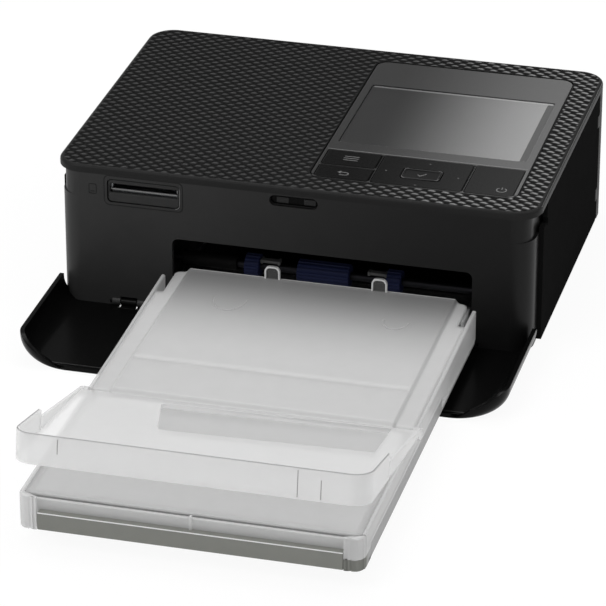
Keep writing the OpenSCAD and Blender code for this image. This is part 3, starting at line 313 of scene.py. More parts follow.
def placed(name, mesh, finish, body, stands_for, angle):
    """Links a finished mesh as an object that rides on its body."""
    mesh.materials.clear()
    mesh.materials.append(finish)
    mesh.shade_smooth()
    mesh.set_sharp_from_angle(angle=math.radians(angle))
    obj = bpy.data.objects.new(name, mesh)
    bpy.context.scene.collection.objects.link(obj)
    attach(obj, body)
    if stands_for:
        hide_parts(*stands_for)
    return obj


def eased(node, finish, slot, width=0.3, joined=True):
    """A copy of a solid of the frame, merged, with its hard edges rounded over."""
    source = NODES[node]
    mesh = source.data.copy()
    form = bmesh.new()
    form.from_mesh(mesh)
    bmesh.ops.remove_doubles(form, verts=form.verts, dist=0.002 * MM)
    bmesh.ops.dissolve_degenerate(form, edges=form.edges, dist=0.0005 * MM)
    if joined:
        bmesh.ops.dissolve_limit(form, angle_limit=math.radians(1), verts=form.verts,
                                 edges=form.edges, use_dissolve_boundaries=False)
    bmesh.ops.recalc_face_normals(form, faces=form.faces)
    form.to_mesh(mesh)
    form.free()
    obj = placed(node + "_eased", mesh, finish, source["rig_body"], (node,), 32)
    bevel = obj.modifiers.new("rounded edges", "BEVEL")
    bevel.width = width * MM
    bevel.segments = 3
    bevel.limit_method = "ANGLE"
    bevel.angle_limit = math.radians(40)
    bevel.harden_normals = True
    bevel.use_clamp_overlap = True
    bevel.miter_outer = "MITER_ARC"
    return obj


# Finishes

def added(nodes, kind, inputs=(), **settings):
    """New shader node of a kind, with its settings and the values of its inputs."""
    made = nodes.new("ShaderNode" + kind)
    for name, value in settings.items():
        setattr(made, name, value)
    for name, value in dict(inputs).items():
        made.inputs[name].default_value = value
    return made


def finish(name, colour, rough, vary=0.12, scale=160.0, grain=2600.0, bump=0.02,
           specular=0.5, metallic=0.0, alpha=1.0, stretch=None, rough_spread=0.12, fade=(),
           raised=None):
    """Moulded or rolled surface: colour drifts slowly over the piece, and a fine grain
    moves the gloss and the height a little. With each fade (axis, start, end, colour) it
    goes over to another colour along an axis; most fades are painted light, shade or
    reflection that falls across a piece. With raised it goes over to that colour by the
    piece's relief attribute, which holds painted highlights on the top's crests, a faint
    painted sheen on its rim, and painted shade on the rear lid."""
    mat = bpy.data.materials.new(name)
    mat.use_nodes = True
    nodes, links = mat.node_tree.nodes, mat.node_tree.links
    shader = nodes["Principled BSDF"]
    coords = added(nodes, "TexCoord")
    source = coords.outputs["Object"]
    if stretch:
        mapping = added(nodes, "Mapping", {"Scale": stretch})
        links.new(source, mapping.inputs["Vector"])
        source = mapping.outputs["Vector"]
    slow = added(nodes, "TexNoise", {"Scale": scale, "Detail": 3})
    fine = added(nodes, "TexNoise", {"Scale": grain, "Detail": 2})
    for noise in (slow, fine):
        links.new(source, noise.inputs["Vector"])
    base = np.array(colour)
    tint = added(nodes, "Mix", {"A": (*np.clip(base * (1 - vary), 0, 1), 1),
                                "B": (*np.clip(base * (1 + vary), 0, 1), 1)}, data_type="RGBA")
    links.new(slow.outputs["Fac"], tint.inputs["Factor"])
    hue = tint.outputs["Result"]

    def over(amount, colour):
        mix = added(nodes, "Mix", {"B": (*colour, 1)}, data_type="RGBA")
        links.new(amount, mix.inputs["Factor"])
        links.new(hue, mix.inputs["A"])
        return mix.outputs["Result"]

    for axis, start, end, far in fade:
        split = added(nodes, "SeparateXYZ")
        links.new(coords.outputs["Object"], split.inputs[0])
        way = added(nodes, "MapRange", {"From Min": start * MM, "From Max": end * MM},
                    interpolation_type="SMOOTHSTEP")
        links.new(split.outputs[axis], way.inputs["Value"])
        hue = over(way.outputs["Result"], far)
    # raised colour: painted highlight or shade, in the share that the relief attribute gives
    if raised:
        relief = added(nodes, "Attribute", attribute_name="relief")
        hue = over(relief.outputs["Fac"], raised)
    links.new(hue, shader.inputs["Base Color"])
    gloss = added(nodes, "MapRange", {"To Min": max(0.02, rough - rough_spread / 2),
                                      "To Max": min(1, rough + rough_spread / 2)})
    links.new(fine.outputs["Fac"], gloss.inputs["Value"])
    links.new(gloss.outputs["Result"], shader.inputs["Roughness"])
    if bump:
        height = added(nodes, "Bump", {"Strength": 0.6, "Distance": bump * MM})
        links.new(fine.outputs["Fac"], height.inputs["Height"])
        links.new(height.outputs["Normal"], shader.inputs["Normal"])
    shader.inputs["Specular IOR Level"].default_value = specular
    shader.inputs["Metallic"].default_value = metallic
    shader.inputs["Alpha"].default_value = alpha
    return mat


def grey(value):
    """Linear colour of a neutral grey given as an eight-bit screen value."""
    c = value / 255
    linear = c / 12.92 if c < 0.04045 else ((c + 0.055) / 1.055) ** 2.4
    return (linear,) * 3


def tinted(r, g, b):
    """Linear colour of an eight-bit screen colour."""
    return tuple(grey(v)[0] for v in (r, g, b))


FINISHES = {
    # textured_black: its raised colour paints highlights on the crests of the relief
    "textured_black": dict(colour="lattice", raised="crest_highlight", rough=0.42, grain=4200,
                           bump=0.006, specular=0.06),
    "black_plastic": dict(colour=grey(22), rough=0.5, grain=2400, bump=0.02, specular=0.15),
    # front_black fades darker towards the right: painted shade, the left of the front lit more
    "front_black": dict(colour="front", rough=0.4, grain=3600, bump=0.008, specular=0.15,
                        fade=[(0, -60, 90, grey(20))]),
    "side_black": dict(colour="side", rough=0.5, grain=3600, bump=0.012, specular=0.0),
    # panel_grey turns lighter towards the right: painted reflection
    "panel_grey": dict(colour="panel", rough=0.26, grain=5200, bump=0.002, specular=0.12,
                       vary=0.05, fade=[(0, 10, 85, grey(96))]),
    # key_grey turns lighter towards the right: painted reflection
    "key_grey": dict(colour="key", rough=0.28, grain=4200, bump=0.003, specular=0.03,
                     fade=[(0, 10, 90, grey(46))]),
    "ok_grey": dict(colour=grey(20), rough=0.2, grain=4200, bump=0.002, specular=0.15),
    "display_glass": dict(colour=grey(40), rough=0.06, grain=900, bump=0, alpha=0.12,
                          specular=0.25, rough_spread=0.02),
    # display_grey turns lighter towards the right: painted reflection
    "display_grey": dict(colour="screen", rough=0.4, grain=6000, bump=0.001, vary=0.03,
                         specular=0.05, fade=[(0, 16, 88, grey(186))]),
    # display_edge: painted highlight lines, lighter towards the right as a painted reflection
    "display_edge": dict(colour=grey(128), rough=0.3, grain=6000, bump=0.001, vary=0.03,
                         specular=0.2, fade=[(0, 12, 84, grey(205))]),
    # display_rim turns lighter towards the right: painted reflection
    "display_rim": dict(colour=grey(52), rough=0.4, grain=6000, bump=0.001, vary=0.03,
                        specular=0.05, fade=[(0, 12, 84, grey(112))]),
    "steel": dict(colour=tinted(170, 172, 174), rough=0.35, metallic=1.0, grain=1800,
                  bump=0.003, stretch=(1, 12, 12)),
    "dark_steel": dict(colour=tinted(44, 44, 47), rough=0.45, metallic=1.0, grain=1800,
                       bump=0.003, stretch=(1, 12, 12)),
    "rubber": dict(colour=grey(28), rough=0.75, grain=3000, bump=0.03, specular=0.2),
    "blue_rubber": dict(colour="roller", rough=0.6, grain=2600, bump=0.02, specular=0.2),
    "grey_plastic": dict(colour=grey(70), rough=0.5, grain=2800, bump=0.015, specular=0.3),
    "catch_grey": dict(colour=grey(28), rough=0.4, grain=2800, bump=0.01, specular=0.25),
    "board_green": dict(colour=tinted(24, 84, 52), rough=0.45, scale=420, vary=0.45,
                        grain=1600, bump=0.01),
    "gear_plastic": dict(colour=tinted(214, 211, 200), rough=0.45, grain=2400, bump=0.01),
    "brass": dict(colour=tinted(200, 168, 92), rough=0.32, metallic=1.0, grain=2000,
                  bump=0.004),
    "aluminium": dict(colour=tinted(192, 194, 197), rough=0.4, metallic=1.0, grain=1400,
                      bump=0.004, stretch=(14, 1, 14)),
    "ribbon_film": dict(colour=tinted(86, 70, 112), rough=0.2, scale=60, vary=0.3,
                        grain=800, bump=0.002),
    # cassette_grey: lighter from y -149.5 back, then near black from y 14 back, where the tray
    # runs into the printer: painted shade
    "cassette_grey": dict(colour="tray", rough=0.45, grain=3200, bump=0.006,
                          vary=0.05, specular=0.25,
                          fade=[(1, -149.5, -146, grey(152)), (1, 14, 24, grey(14))]),
    "cassette_floor": dict(colour=grey(196), rough=0.4, grain=3200, bump=0.006, vary=0.04,
                           specular=0.3),
    # frosted_plastic turns near black from y 19 back, inside the printer: painted shade
    "frosted_plastic": dict(colour="walls", rough=0.34, grain=5200, bump=0.004, alpha=0.6,
                            vary=0.03, specular=0.35, fade=[(1, 19, 27, grey(20))]),
    # frosted_lid's raised colour: painted shade on the plateau towards the printer
    "frosted_lid": dict(colour="lid", rough=0.36, grain=5200, bump=0.004, alpha=0.86,
                        vary=0.03, specular=0.25, raised=grey(136)),
    "inner_frosted": dict(colour=grey(184), rough=0.36, grain=5200, bump=0.004, alpha=0.86,
                          vary=0.03, specular=0.3),
    "frosted_tongue": dict(colour=grey(96), rough=0.3, grain=5200, bump=0.004, alpha=0.5,
                           vary=0.03, specular=0.3),
    "frosted_mark": dict(colour=grey(196), rough=0.34, grain=5200, bump=0.004, alpha=0.35,
                         vary=0.03, specular=0.3),
    # edge_white: white edge lines; on the tray bar's top edge it is a painted highlight
    "edge_white": dict(colour=grey(226), rough=0.3, grain=5200, bump=0.002, alpha=0.9,
                       vary=0.03, specular=0.4),
    "edge_grey": dict(colour=grey(128), rough=0.4, grain=5200, bump=0.002, alpha=0.6,
                      vary=0.04, specular=0.3),
    "clear_plastic": dict(colour="cover", rough=0.34, grain=3000, bump=0.001, alpha=0.42,
                          vary=0.02, specular=0.2),
    "door_black": dict(colour="door", rough=0.24, grain=2400, bump=0.002, specular=0.07),
    # lip_black: lighter than the door, a painted highlight on its lip
    "lip_black": dict(colour=grey(30), rough=0.3, grain=2400, bump=0.002, specular=0.3),
    # dark print of the card mark, and painted shade in the dark rings round the card frame and
    # the catch
    "mark_dark": dict(colour=grey(16), rough=0.5, grain=3000, bump=0.002, specular=0.2),
    "mark_grey": dict(colour="mark", rough=0.5, grain=3000, bump=0.004, specular=0.2),
    # glint_grey: painted highlights, thin light lines and glints
    "glint_grey": dict(colour=grey(128), rough=0.3, grain=3000, bump=0.002, specular=0.4),
    "bracket_grey": dict(colour=grey(96), rough=0.5, grain=3000, bump=0.004, specular=0.2),
    # dark_inside: near black, painted shade of the parts deep inside the case
    "dark_inside": dict(colour=grey(12), rough=0.6, grain=2400, bump=0.01, specular=0.1),
}
# Finishes made so far, by name
_made = {}


def look(name):
    """The finish of that name, made on first use, in the colours that the user has set."""
    if name not in _made:
        chosen = bpy.context.scene.printer_colours
        settings = dict(FINISHES[name])
        for part in ("colour", "raised"):
            if isinstance(settings.get(part), str):
                settings[part] = tuple(getattr(chosen, settings[part]))
        _made[name] = finish(name, **settings)
    return _made[name]


# Solids that keep their shape, with their finish
KEPT = {
    "base_shell": "black_plastic", "side_cover_pins": "steel",
    "rubber_feet": "rubber", "case_screws": "steel", "door_hinge_pins": "dark_steel",
    "card_socket": "steel", "key_board": "board_green", "main_board": "board_green",
    # the paper guide's near black dark_inside finish is painted shade
    "chassis_left_plate": "steel", "chassis_right_plate": "steel", "paper_guide": "dark_inside",
    "pickup_shaft": "dark_steel", "pickup_gear": "gear_plastic",
    "idler_gear_front": "gear_plastic", "capstan_roller": "steel",
    "capstan_gear": "gear_plastic", "pinch_roller": "rubber",
    "idler_gear_rear": "gear_plastic", "platen_shaft": "steel", "platen_roller": "rubber",
    "platen_gear": "gear_plastic", "drive_motor": "steel", "motor_bracket": "steel",
    "motor_pinion": "brass", "head_arm": "aluminium", "thermal_head": "aluminium",
    "ribbon_cartridge": "grey_plastic", "supply_spool": "ribbon_film",
    "takeup_spool": "ribbon_film", "dc_inlet": "black_plastic", "usb_socket": "steel",
    "lift_plate": "cassette_floor",
}

# Solids that get rounded edges: finish, slot, rounding in millimetres, and whether faces
# that lie in one plane are joined first
EASED = {
    "front_shell": ("front_black", "front_black", 0.35),
    "left_side_panel": ("side_black", "side_black", 0.3),
    "rear_panel": ("black_plastic", "black_plastic", 0.2, False),
    "side_cover": ("side_black", "side_black", 0.3),
    "door_catch": ("catch_grey", "grey_plastic", 0.4),
    "cassette_tray": ("cassette_grey", "cassette_grey", 0.4),
}


def smooth(t):
    """Soft step: 3 t^2 - 2 t^3 between 0 and 1."""
    t = np.clip(t, 0, 1)
    return t * t * (3 - 2 * t)


def stops(places, step):
    """Places along an axis: each one given, and evenly spaced ones between them."""
    runs = [np.linspace(a, b, max(1, round((b - a) / step)) + 1)[:-1]
            for a, b in zip(places, places[1:])]
    return np.append(np.concatenate(runs), places[-1])


class Placed:
    """Where the parts of the object lie, in millimetres, read from the frame."""
    low, high = extent("control_panel")
    flange = 1.5
    panel_w = high[0] - low[0] - 2 * flange
    panel_d = high[1] - low[1] - 2 * flange
    panel_x = (high[0] + low[0]) / 2
    panel_y = (high[1] + low[1]) / 2
    panel_top = high[2]
    panel_gap = 0.35
    tray_x = sum(extent("cassette_tray")[k][0] for k in (0, 1)) / 2
    tray_half = extent("cassette_tray")[1][0] - tray_x
    tray_front = extent("cassette_tray")[0][1] - FRONT
    tray_z = extent("cassette_tray")[0][2]
    cassette_wall = 1.4
    wall_top = tray_z + 12.2
    cover_u = -99.5
    cover_z = wall_top - 0.3


def top_cover(size):
    """Relief over the top, its rounded edge, the rim round the panel's hole and the posts.

    The top is a grid of straight lines. Near the outer corners a square of side r is bent
    onto a quarter disc (each point keeps the larger of its two shares as its distance), and
    near the hole's corners the same bend fades out over one radius. Height over it is the
    lattice of pillows: (cos pi i cos pi j) over the two slanted lattice directions i, j. On
    the crests, painted highlights are thin dashes along (t, 1 - t) of those directions, with
    t falling to the right, and they grow brighter to the right. The outer rounded edge gets a
    faint painted sheen.
    """
    at = Placed
    edge, deep, step, ease = size.edge_round / MM, size.relief_depth / MM, 0.46, 0.3
    r = size.corner_round / MM - edge
    hw, mid, hd = HALF - edge, (FRONT + BACK) / 2, (BACK - FRONT) / 2 - edge
    hx, hy = at.panel_w / 2 + at.panel_gap + ease, at.panel_d / 2 + at.panel_gap + ease
    hr = size.panel_corner / MM + at.panel_gap + ease
    cx, cy = at.panel_x, at.panel_y
    xs = stops([-hw, r - hw, cx - hx, cx + hx, hw], step)
    ys = stops([mid - hd, mid - hd + r, cy - hy, cy + hy, mid + hd], step)
    x, y = np.meshgrid(xs, ys)

    def bent(x, y, x0, y0, half_x, half_y, radius, inner):
        u, v = np.abs(x - x0), np.abs(y - y0)
        p = np.clip(u - (half_x - radius), 0, None) / radius
        q = np.clip(v - (half_y - radius), 0, None) / radius
        most, far = np.maximum(p, q), np.maximum(np.hypot(p, q), 1e-9)
        k = np.where(far > 1e-6, most / far, 1)
        if inner:
            k = 1 + (k - 1) * np.clip(2 - most, 0, 1)
        u = np.minimum(u, half_x - radius) + p * k * radius
        v = np.minimum(v, half_y - radius) + q * k * radius
        return x0 + np.sign(x - x0) * u, y0 + np.sign(y - y0) * v

    def inside(x, y, x0, y0, half_x, half_y, radius):
        u, v = np.abs(x - x0) - half_x + radius, np.abs(y - y0) - half_y + radius
        return radius - np.hypot(np.maximum(u, 0), np.maximum(v, 0)) - np.minimum(
            np.maximum(u, v), 0)

    x, y = bent(x, y, cx, cy, hx, hy, hr, True)
    x, y = bent(x, y, 0, mid, hw, hd, r, False)
    outer_gap = inside(x, y, 0, mid, hw, hd, r)
    gap = np.minimum(outer_gap, -inside(x, y, cx, cy, hx, hy, hr))
    fade = smooth((gap - 0.1) / 0.45)
    (ax, ay), (bx, by) = (2.65, 2.07), (2.51, -2.27)
    det = ax * by - ay * bx
    i = ((x * by - (y - FRONT) * bx) / det) % 1 - 0.5
    j = ((ax * (y - FRONT) - ay * x) / det) % 1 - 0.5
    pillow = (np.cos(math.pi * i) * np.cos(math.pi * j)) ** 0.8
    z = TOP - deep * (1 - (pillow * fade + 0.9 * (1 - fade)))
    # painted highlights on the pillows' crests: the dashes' slant turns and their brightness
    # grows towards the right, where the reflections fall
    right = smooth((x + 5) / 85)
    turn = 0.58 - 0.23 * right
    crest_highlight = smooth((pillow - 0.5 + 0.2 * right) / 0.42) * fade
    crest_highlight *= np.exp(-(((1 - turn) * i - turn * j - 0.03) / 0.105) ** 2)
    crest_highlight *= 0.2 + 0.8 * right
    # faint painted sheen on the outer rounded edge and just inside it
    shine = 0.05
    crest_highlight = np.maximum(crest_highlight, shine * (1 - smooth(outer_gap / 0.5)))
    grid = np.stack([x, y, z], -1)
    c0, c1 = np.searchsorted(xs, [cx - hx - 1e-6, cx + hx - 1e-6])
    r0, r1 = np.searchsorted(ys, [cy - hy - 1e-6, cy + hy - 1e-6])
    keep = np.ones((len(ys) - 1, len(xs) - 1), bool)
    keep[r0:r1, c0:c1] = False
    form = Surface()
    form.grid(grid, keep=keep, relief=crest_highlight)

    def rim(ring, core, radius, sign, reach, low, shine):
        out = (ring[:, :2] - core) / radius
        a = np.linspace(0, math.pi / 2, 6)
        off = np.append(reach * np.sin(a), reach)
        z = np.vstack([ring[:, 2] + (TOP - reach - ring[:, 2]) * (1 - np.cos(t)) for t in a]
                      + [np.full(len(ring), low)])
        xy = ring[None, :, :2] + sign * off[:, None, None] * out[None]
        xyz = np.concatenate([xy, z[..., None]], -1)
        form.grid(xyz, wrap_cols=True, relief=np.full(xyz.shape[:2], shine))
        return xyz[-1]

    def border(g):
        return np.vstack([g[0], g[1:, -1], g[-1, -2::-1], g[-2:0:-1, 0]])

    ring = border(grid)
    core = np.stack([np.clip(ring[:, 0], r - hw, hw - r),
                     np.clip(ring[:, 1], mid - hd + r, mid + hd - r)], 1)
    # the outer rim carries the faint painted sheen, the hole's rim none
    outer = rim(ring, core, r, 1, edge, RIM, shine)
    ring = border(grid[r0:r1 + 1, c0:c1 + 1])
    core = np.stack([np.clip(ring[:, 0], cx - hx + hr, cx + hx - hr),
                     np.clip(ring[:, 1], cy - hy + hr, cy + hy - hr)], 1)
    inner = rim(ring, core, hr, -1, ease, RIM, 0)
    form.fill(outer, inner, relief=np.repeat([shine, 0], [len(outer), len(inner)]))
    boss_x, floor, board, into = HALF - 9, 3.5, 50.2, RIM + 0.5
    for x in (-boss_x, boss_x):
        for u in (9.5, BACK - FRONT - 7.5):
            form.tube((x, FRONT + u, 0), "z", 3.2, 1.5, floor, into)
    for x in (-78, -20.1):
        for u in (46, 110):
            form.tube((x, FRONT + u, 0), "z", 2.4, 0.8, board, into)
    form.piece("top_cover_relief", look("textured_black"), "printer", "textured_black",
               "top_cover", angle=50, merge=0.0005)
    # thin light line on the rounding of the right edge: painted highlight
    form = Surface()
    form.box((HALF - 0.47, FRONT + r, TOP - 0.47), (HALF - 0.27, BACK - r, TOP - 0.27), 0.08)
    form.piece("top_cover_bright_edge", look("glint_grey"), "printer", "textured_black")


def control_panel(size):
    """Plate with rounded holes for the window and the keys, on its flange."""
    at, r = Placed, size.panel_corner / MM
    x, y, w, d = at.panel_x, at.panel_y, at.panel_w, at.panel_d
    keys = [extent(n) for n in ("menu_key", "back_key", "navigation_key", "power_key")]
    window_gap, key_gap = 0.1, 0.3

    def hole(centre_x, centre_y, wide, deep, gap, radius):
        return rounded_box(centre_x, centre_y, wide + 2 * gap, deep + 2 * gap, radius)

    holes = [hole(*plan("display_window"), window_gap, 1.2)]
    holes += [hole((a[0] + b[0]) / 2, (a[1] + b[1]) / 2, b[0] - a[0], b[1] - a[1], key_gap, 1)
              for a, b in keys]
    form = Surface()
    form.plate(rounded_box(x, y, w, d, r, 12), holes, at.panel_top - 2.2,
               at.panel_top, edge=0.28)
    bottom = extent("control_panel")[0][2]
    inset = rounded_box(x, y, w - 2.4, d - 2.4, r - 1.2, 12)
    form.plate(rounded_box(x, y, w, d, r, 12), [inset], bottom, at.panel_top - 2.1)
    form.plate(rounded_box(x, y, w + 3, d + 3, r + 1.5, 12), [inset], bottom, RIM)
    form.piece("control_panel_plate", look("panel_grey"), "printer", "panel_grey",
               "control_panel")
    # thin light line across the plate above the keys: painted highlight
    form = Surface()
    line = max(b[1] for _, b in keys) + 0.9
    form.bar([(x - w / 2 + 0.8, line), (x + w / 2 - 0.8, line)], 0.22, at.panel_top - 0.2,
             at.panel_top + 0.004)
    form.piece("control_panel_line", look("glint_grey"), "printer", "panel_grey")


def display():
    """Clear window with a rounded edge over a grey display behind it. The display's border
    and screen grow lighter to the right, a painted reflection, and light lines along its top
    and bottom edges are painted highlights.
    """
    x, y, w, d = plan("display_window")
    top = extent("display_window")[1][2]
    form = Surface()
    form.plate(rounded_box(x, y, w, d, 1.1), [], top - 0.4, top, edge=0.2)
    form.piece("display_window_pane", look("display_glass"), "printer", "display_glass",
               "display_window")
    sheet = top - 0.42
    form = Surface()
    form.plate(rounded_box(x, y, w, d, 1), [], sheet - 1, sheet - 0.1, edge=0.1)
    form.piece("display_border", look("display_rim"), "printer", "display_grey",
               "display_module")
    form = Surface()
    form.plate(rounded_box(x - 1.2, y - 0.1, w - 2.8, d - 0.8, 0.5), [], sheet - 0.3,
               sheet - 0.04, edge=0.04)
    form.piece("display_screen", look("display_grey"), "printer", "display_grey")
    # light lines along the display's top and bottom edges: painted highlights
    form = Surface()
    form.box((x - w / 2 + 0.6, y + d / 2 - 1.5, sheet - 0.3),
             (x + w / 2 - 0.6, y + d / 2 - 0.25, sheet - 0.02), 0.05)
    form.box((x - w / 2 + 0.8, y - d / 2 + 0.1, sheet - 0.3),
             (x + w / 2 - 0.8, y - d / 2 + 0.35, sheet - 0.02), 0.03)
    form.piece("display_bright_edge", look("display_edge"), "printer", "display_grey")


def keys(size):
    """Keys with rounded rims on round stems, and a middle key with a lip and four painted glints.
    """
    stem = 1.2
    for node, body in (("menu_key", "menu"), ("back_key", "back"),
                       ("navigation_key", "navigation"), ("power_key", "power")):
        low, high = extent(node)
        x, y, w, d = plan(node)
        holes, stems = [], [(0, 0)]
        if node == "navigation_key":
            in_x, in_y, in_w, in_d = plan("ok_key")
            holes = [rounded_box(in_x, in_y, in_w + 0.6, in_d + 0.6, 1.8)]
            stems = [(0, 9.2), (0, -9.2), (13, 0), (-13, 0)]
        form = Surface()
        form.plate(rounded_box(x, y, w, d, 0.7), holes, high[2] - 2.85, high[2],
                   edge=size.key_edge / MM)
        for dx, dy in stems:
            form.lathe((x + dx, y + dy, 0), "z", [(stem, low[2]), (stem, high[2] - 2.5)])
        form.piece(node + "_cap", look("key_grey"), body, "panel_grey", node)
    low, high = extent("ok_key")
    x, y, w, d = plan("ok_key")
    corner, glint = 1.5, 1.12
    form = Surface()
    form.plate(rounded_box(x, y, w, d, corner), [rounded_box(x, y, w - 2, d - 2, 0.7)],
               high[2] - 3, high[2], edge=0.45)
    form.plate(rounded_box(x, y, w - 1.9, d - 1.9, 0.7), [], high[2] - 3, high[2] - 0.35,
               edge=0.1)
    form.lathe((x, y, 0), "z", [(stem, low[2]), (stem, high[2] - 2.5)])
    form.piece("ok_key_cap", look("ok_grey"), "confirm", "panel_grey", "ok_key")
    # four painted glints at the corners of the middle key's rim
    form = Surface()
    for dx, dy in ((-1, -1), (-1, 1), (1, -1), (1, 1)):
        a = np.radians(np.linspace(-10, 100, 12))
        line = np.stack([dx * (w / 2 - corner + glint * np.cos(a)),
                         dy * (d / 2 - corner + glint * np.sin(a))], 1)
        form.bar(line + (x, y), 0.22, high[2] - 0.1, high[2] - 0.02)
    form.piece("ok_key_glints", look("glint_grey"), "confirm", "panel_grey")


def marks(size):
    """Generic marks on the keys: three bars, a return arrow, four points, a tick and a
    power sign; and the outline of a card on the front."""
    top = extent("menu_key")[1][2]

    def made(name, body, strokes, z=top, slot="panel_grey"):
        form = Surface()
        for line in strokes:
            form.bar(line, size.mark_width / MM, z - 0.1, z + 0.035)
        form.piece(name, look("mark_grey"), body, slot)

    def ring(x, y, r, a0, a1, n=18):
        a = np.radians(np.linspace(a0, a1, n))
        return np.stack([x + r * np.cos(a), y + r * np.sin(a)], 1)

    y = FRONT + 31.1
    made("menu_mark", "menu", [[(11.6, y + k), (17.2, y + k)] for k in (-1.6, 0, 1.6)])
    y = FRONT + 17.5
    made("back_mark", "back", [
        np.vstack([[(12.6, y + 1.1)], ring(15.5, y, 1.1, 90, -90, 12), [(13.4, y - 1.1)]]),
        [(13.7, y + 2.0), (12.6, y + 1.1), (13.7, y + 0.2)]])
    points = [(43.8, 33.5, 0), (29.3, 24.2, 1), (56.4, 24.2, 1), (42.4, 14.5, 0)]
    made("navigation_marks", "navigation",
         [[(x - 0.3, FRONT + u), (x + 0.3, FRONT + u)] for x, u, _ in points])
    x, y = 42.7, FRONT + 23.9
    made("confirm_mark", "confirm", [[(x - 1.4, y), (x - 0.4, y - 1.1), (x + 1.6, y + 1.3)]],
         z=extent("ok_key")[1][2] - 0.35)
    x, y = 73.8, FRONT + 18.2
    made("power_mark", "power", [ring(x, y, 1.8, 125, 415), [(x, y + 0.4), (x, y + 2.3)]])
    form = Surface()
    loop = rounded_box(-76.1, 48.6, 2.8, 3.8, 0.4, 5)[0]
    form.bar(np.vstack([loop, loop[:2]]), 0.22, -0.02, 0.1)
    form.bar([(-76.9, 47.6), (-75.3, 47.6)], 0.2, -0.02, 0.1)
    form.tilt(UPRIGHT, (0, FRONT, 0))
    form.piece("card_mark", look("mark_dark"), "printer", "front_black")


def cassette_walls():
    """Side walls of the cassette that turn round its front corners, and its cross walls.

    Section: a rounded upright strip. It is carried along a path whose bottom and top
    heights are straight runs of the distance from the front: over the skirt, down to the
    floor beside the ears, and down to the table side of the corner posts.
    """
    at = Placed
    t, half, x0 = at.cassette_wall, at.tray_half, at.tray_x
    front, skirt, ear = at.tray_front, -60.0, -5.6
    # end of the front wall beside the bar, end of the corner posts, and the inner rails
    front_end, post_end, rail = 52.7, front + 10.4, 55.4
    floor, over_skirt, post_low = at.tray_z + 1.4, at.tray_z + 5.6, 4.2
    form, corner = Surface(), Surface()
    for s in (-1, 1):
        path = outline([(half, ear), (half, front), (front_end, front), (front_end, ear)][::-1],
                       [0.01, 0.01, 4, 0.01], 10)
        points, out = spread(path, 2.0)
        keep = (points[:, 0] > half - 8) | (points[:, 1] < front + 0.01)
        keep &= (points[:, 0] > front_end - 0.01) & (points[:, 1] < ear + 0.01)
        keep &= (points[:, 1] < front + 0.5) | (points[:, 0] > half - 4.1)
        keep &= (points[:, 1] < ear - 0.02) | (points[:, 0] > half - 0.005)
        points, out = points[keep], out[keep]
        order = np.argsort(points[:, 1] - 0.5 * points[:, 0] * (points[:, 1] < front + 4.1))
        points, out = points[order], out[order]
        u = points[:, 1]
        extra = np.array([skirt - 0.01, skirt + 0.01, post_end, post_end + 0.02])
        side = np.stack([np.full(4, half), extra], 1)
        points = np.vstack([points, side])
        out = np.vstack([out, np.tile([1.0, 0.0], (4, 1))])
        order = np.argsort(points[:, 1] - 0.5 * points[:, 0] * (points[:, 1] < front + 4.1))
        points, out, u = points[order], out[order], points[order][:, 1]
        low = np.where(u > skirt, floor, over_skirt)
        post = u < post_end + 0.01
        low = np.where(post, at.tray_z + (post_low if s > 0 else 0), low)
        if s > 0:
            corner.strip(points[post] + (x0, FRONT), out[post], np.full(post.sum(), at.tray_z),
                         np.full(post.sum(), at.tray_z + 4.25), t + 0.02)
        high = at.wall_top + np.clip((u - skirt) / (-skirt - 10), 0, 1) * 0.8
        form.strip(points * (s, 1) + (x0, FRONT), out * (s, 1), low, high, t, 0.35)
        lo, hi = sorted((x0 + s * (rail - t), x0 + s * rail))
        form.box((lo, FRONT - 7.2, floor), (hi, FRONT + 22, at.tray_z + 8.8), 0.3)
        lo, hi = sorted((x0 + s * (rail - 0.1), x0 + s * (half - t + 0.1)))
        form.box((lo, FRONT - 7.2, floor), (hi, FRONT - 5.8, at.tray_z + 4.2), 0.2)
        # boss that holds the output cover's pin
        form.lathe((x0 + s * (half - t / 2), FRONT + at.cover_u, at.cover_z), "x",
                   softened_line([(0.2, -t / 2), (2.3, -t / 2), (2.3, t / 2), (0.2, t / 2)],
                                 [0, 0.2, 0.2, 0]), 24)
    form.box((x0 - half + 0.5, FRONT + front + 3.4, floor),
             (x0 + half - 0.5, FRONT + front + 4.8, at.wall_top - 2.2), 0.35)
    form.box((x0 - 0.5, FRONT + front + 2.2, over_skirt),
             (x0 + 0.5, FRONT + front + 3.6, at.wall_top - 0.9), 0.2)
    form.box((x0 - rail, FRONT + 20.6, floor), (x0 + rail, FRONT + 22, at.tray_z + 5.5), 0.3)
    no_shadow(form.piece("cassette_walls_shell", look("frosted_plastic"), "cassette",
                         "frosted_plastic", "cassette_walls", angle=40))
    corner.piece("tray_corner", look("cassette_grey"), "cassette", "cassette_grey", angle=40)


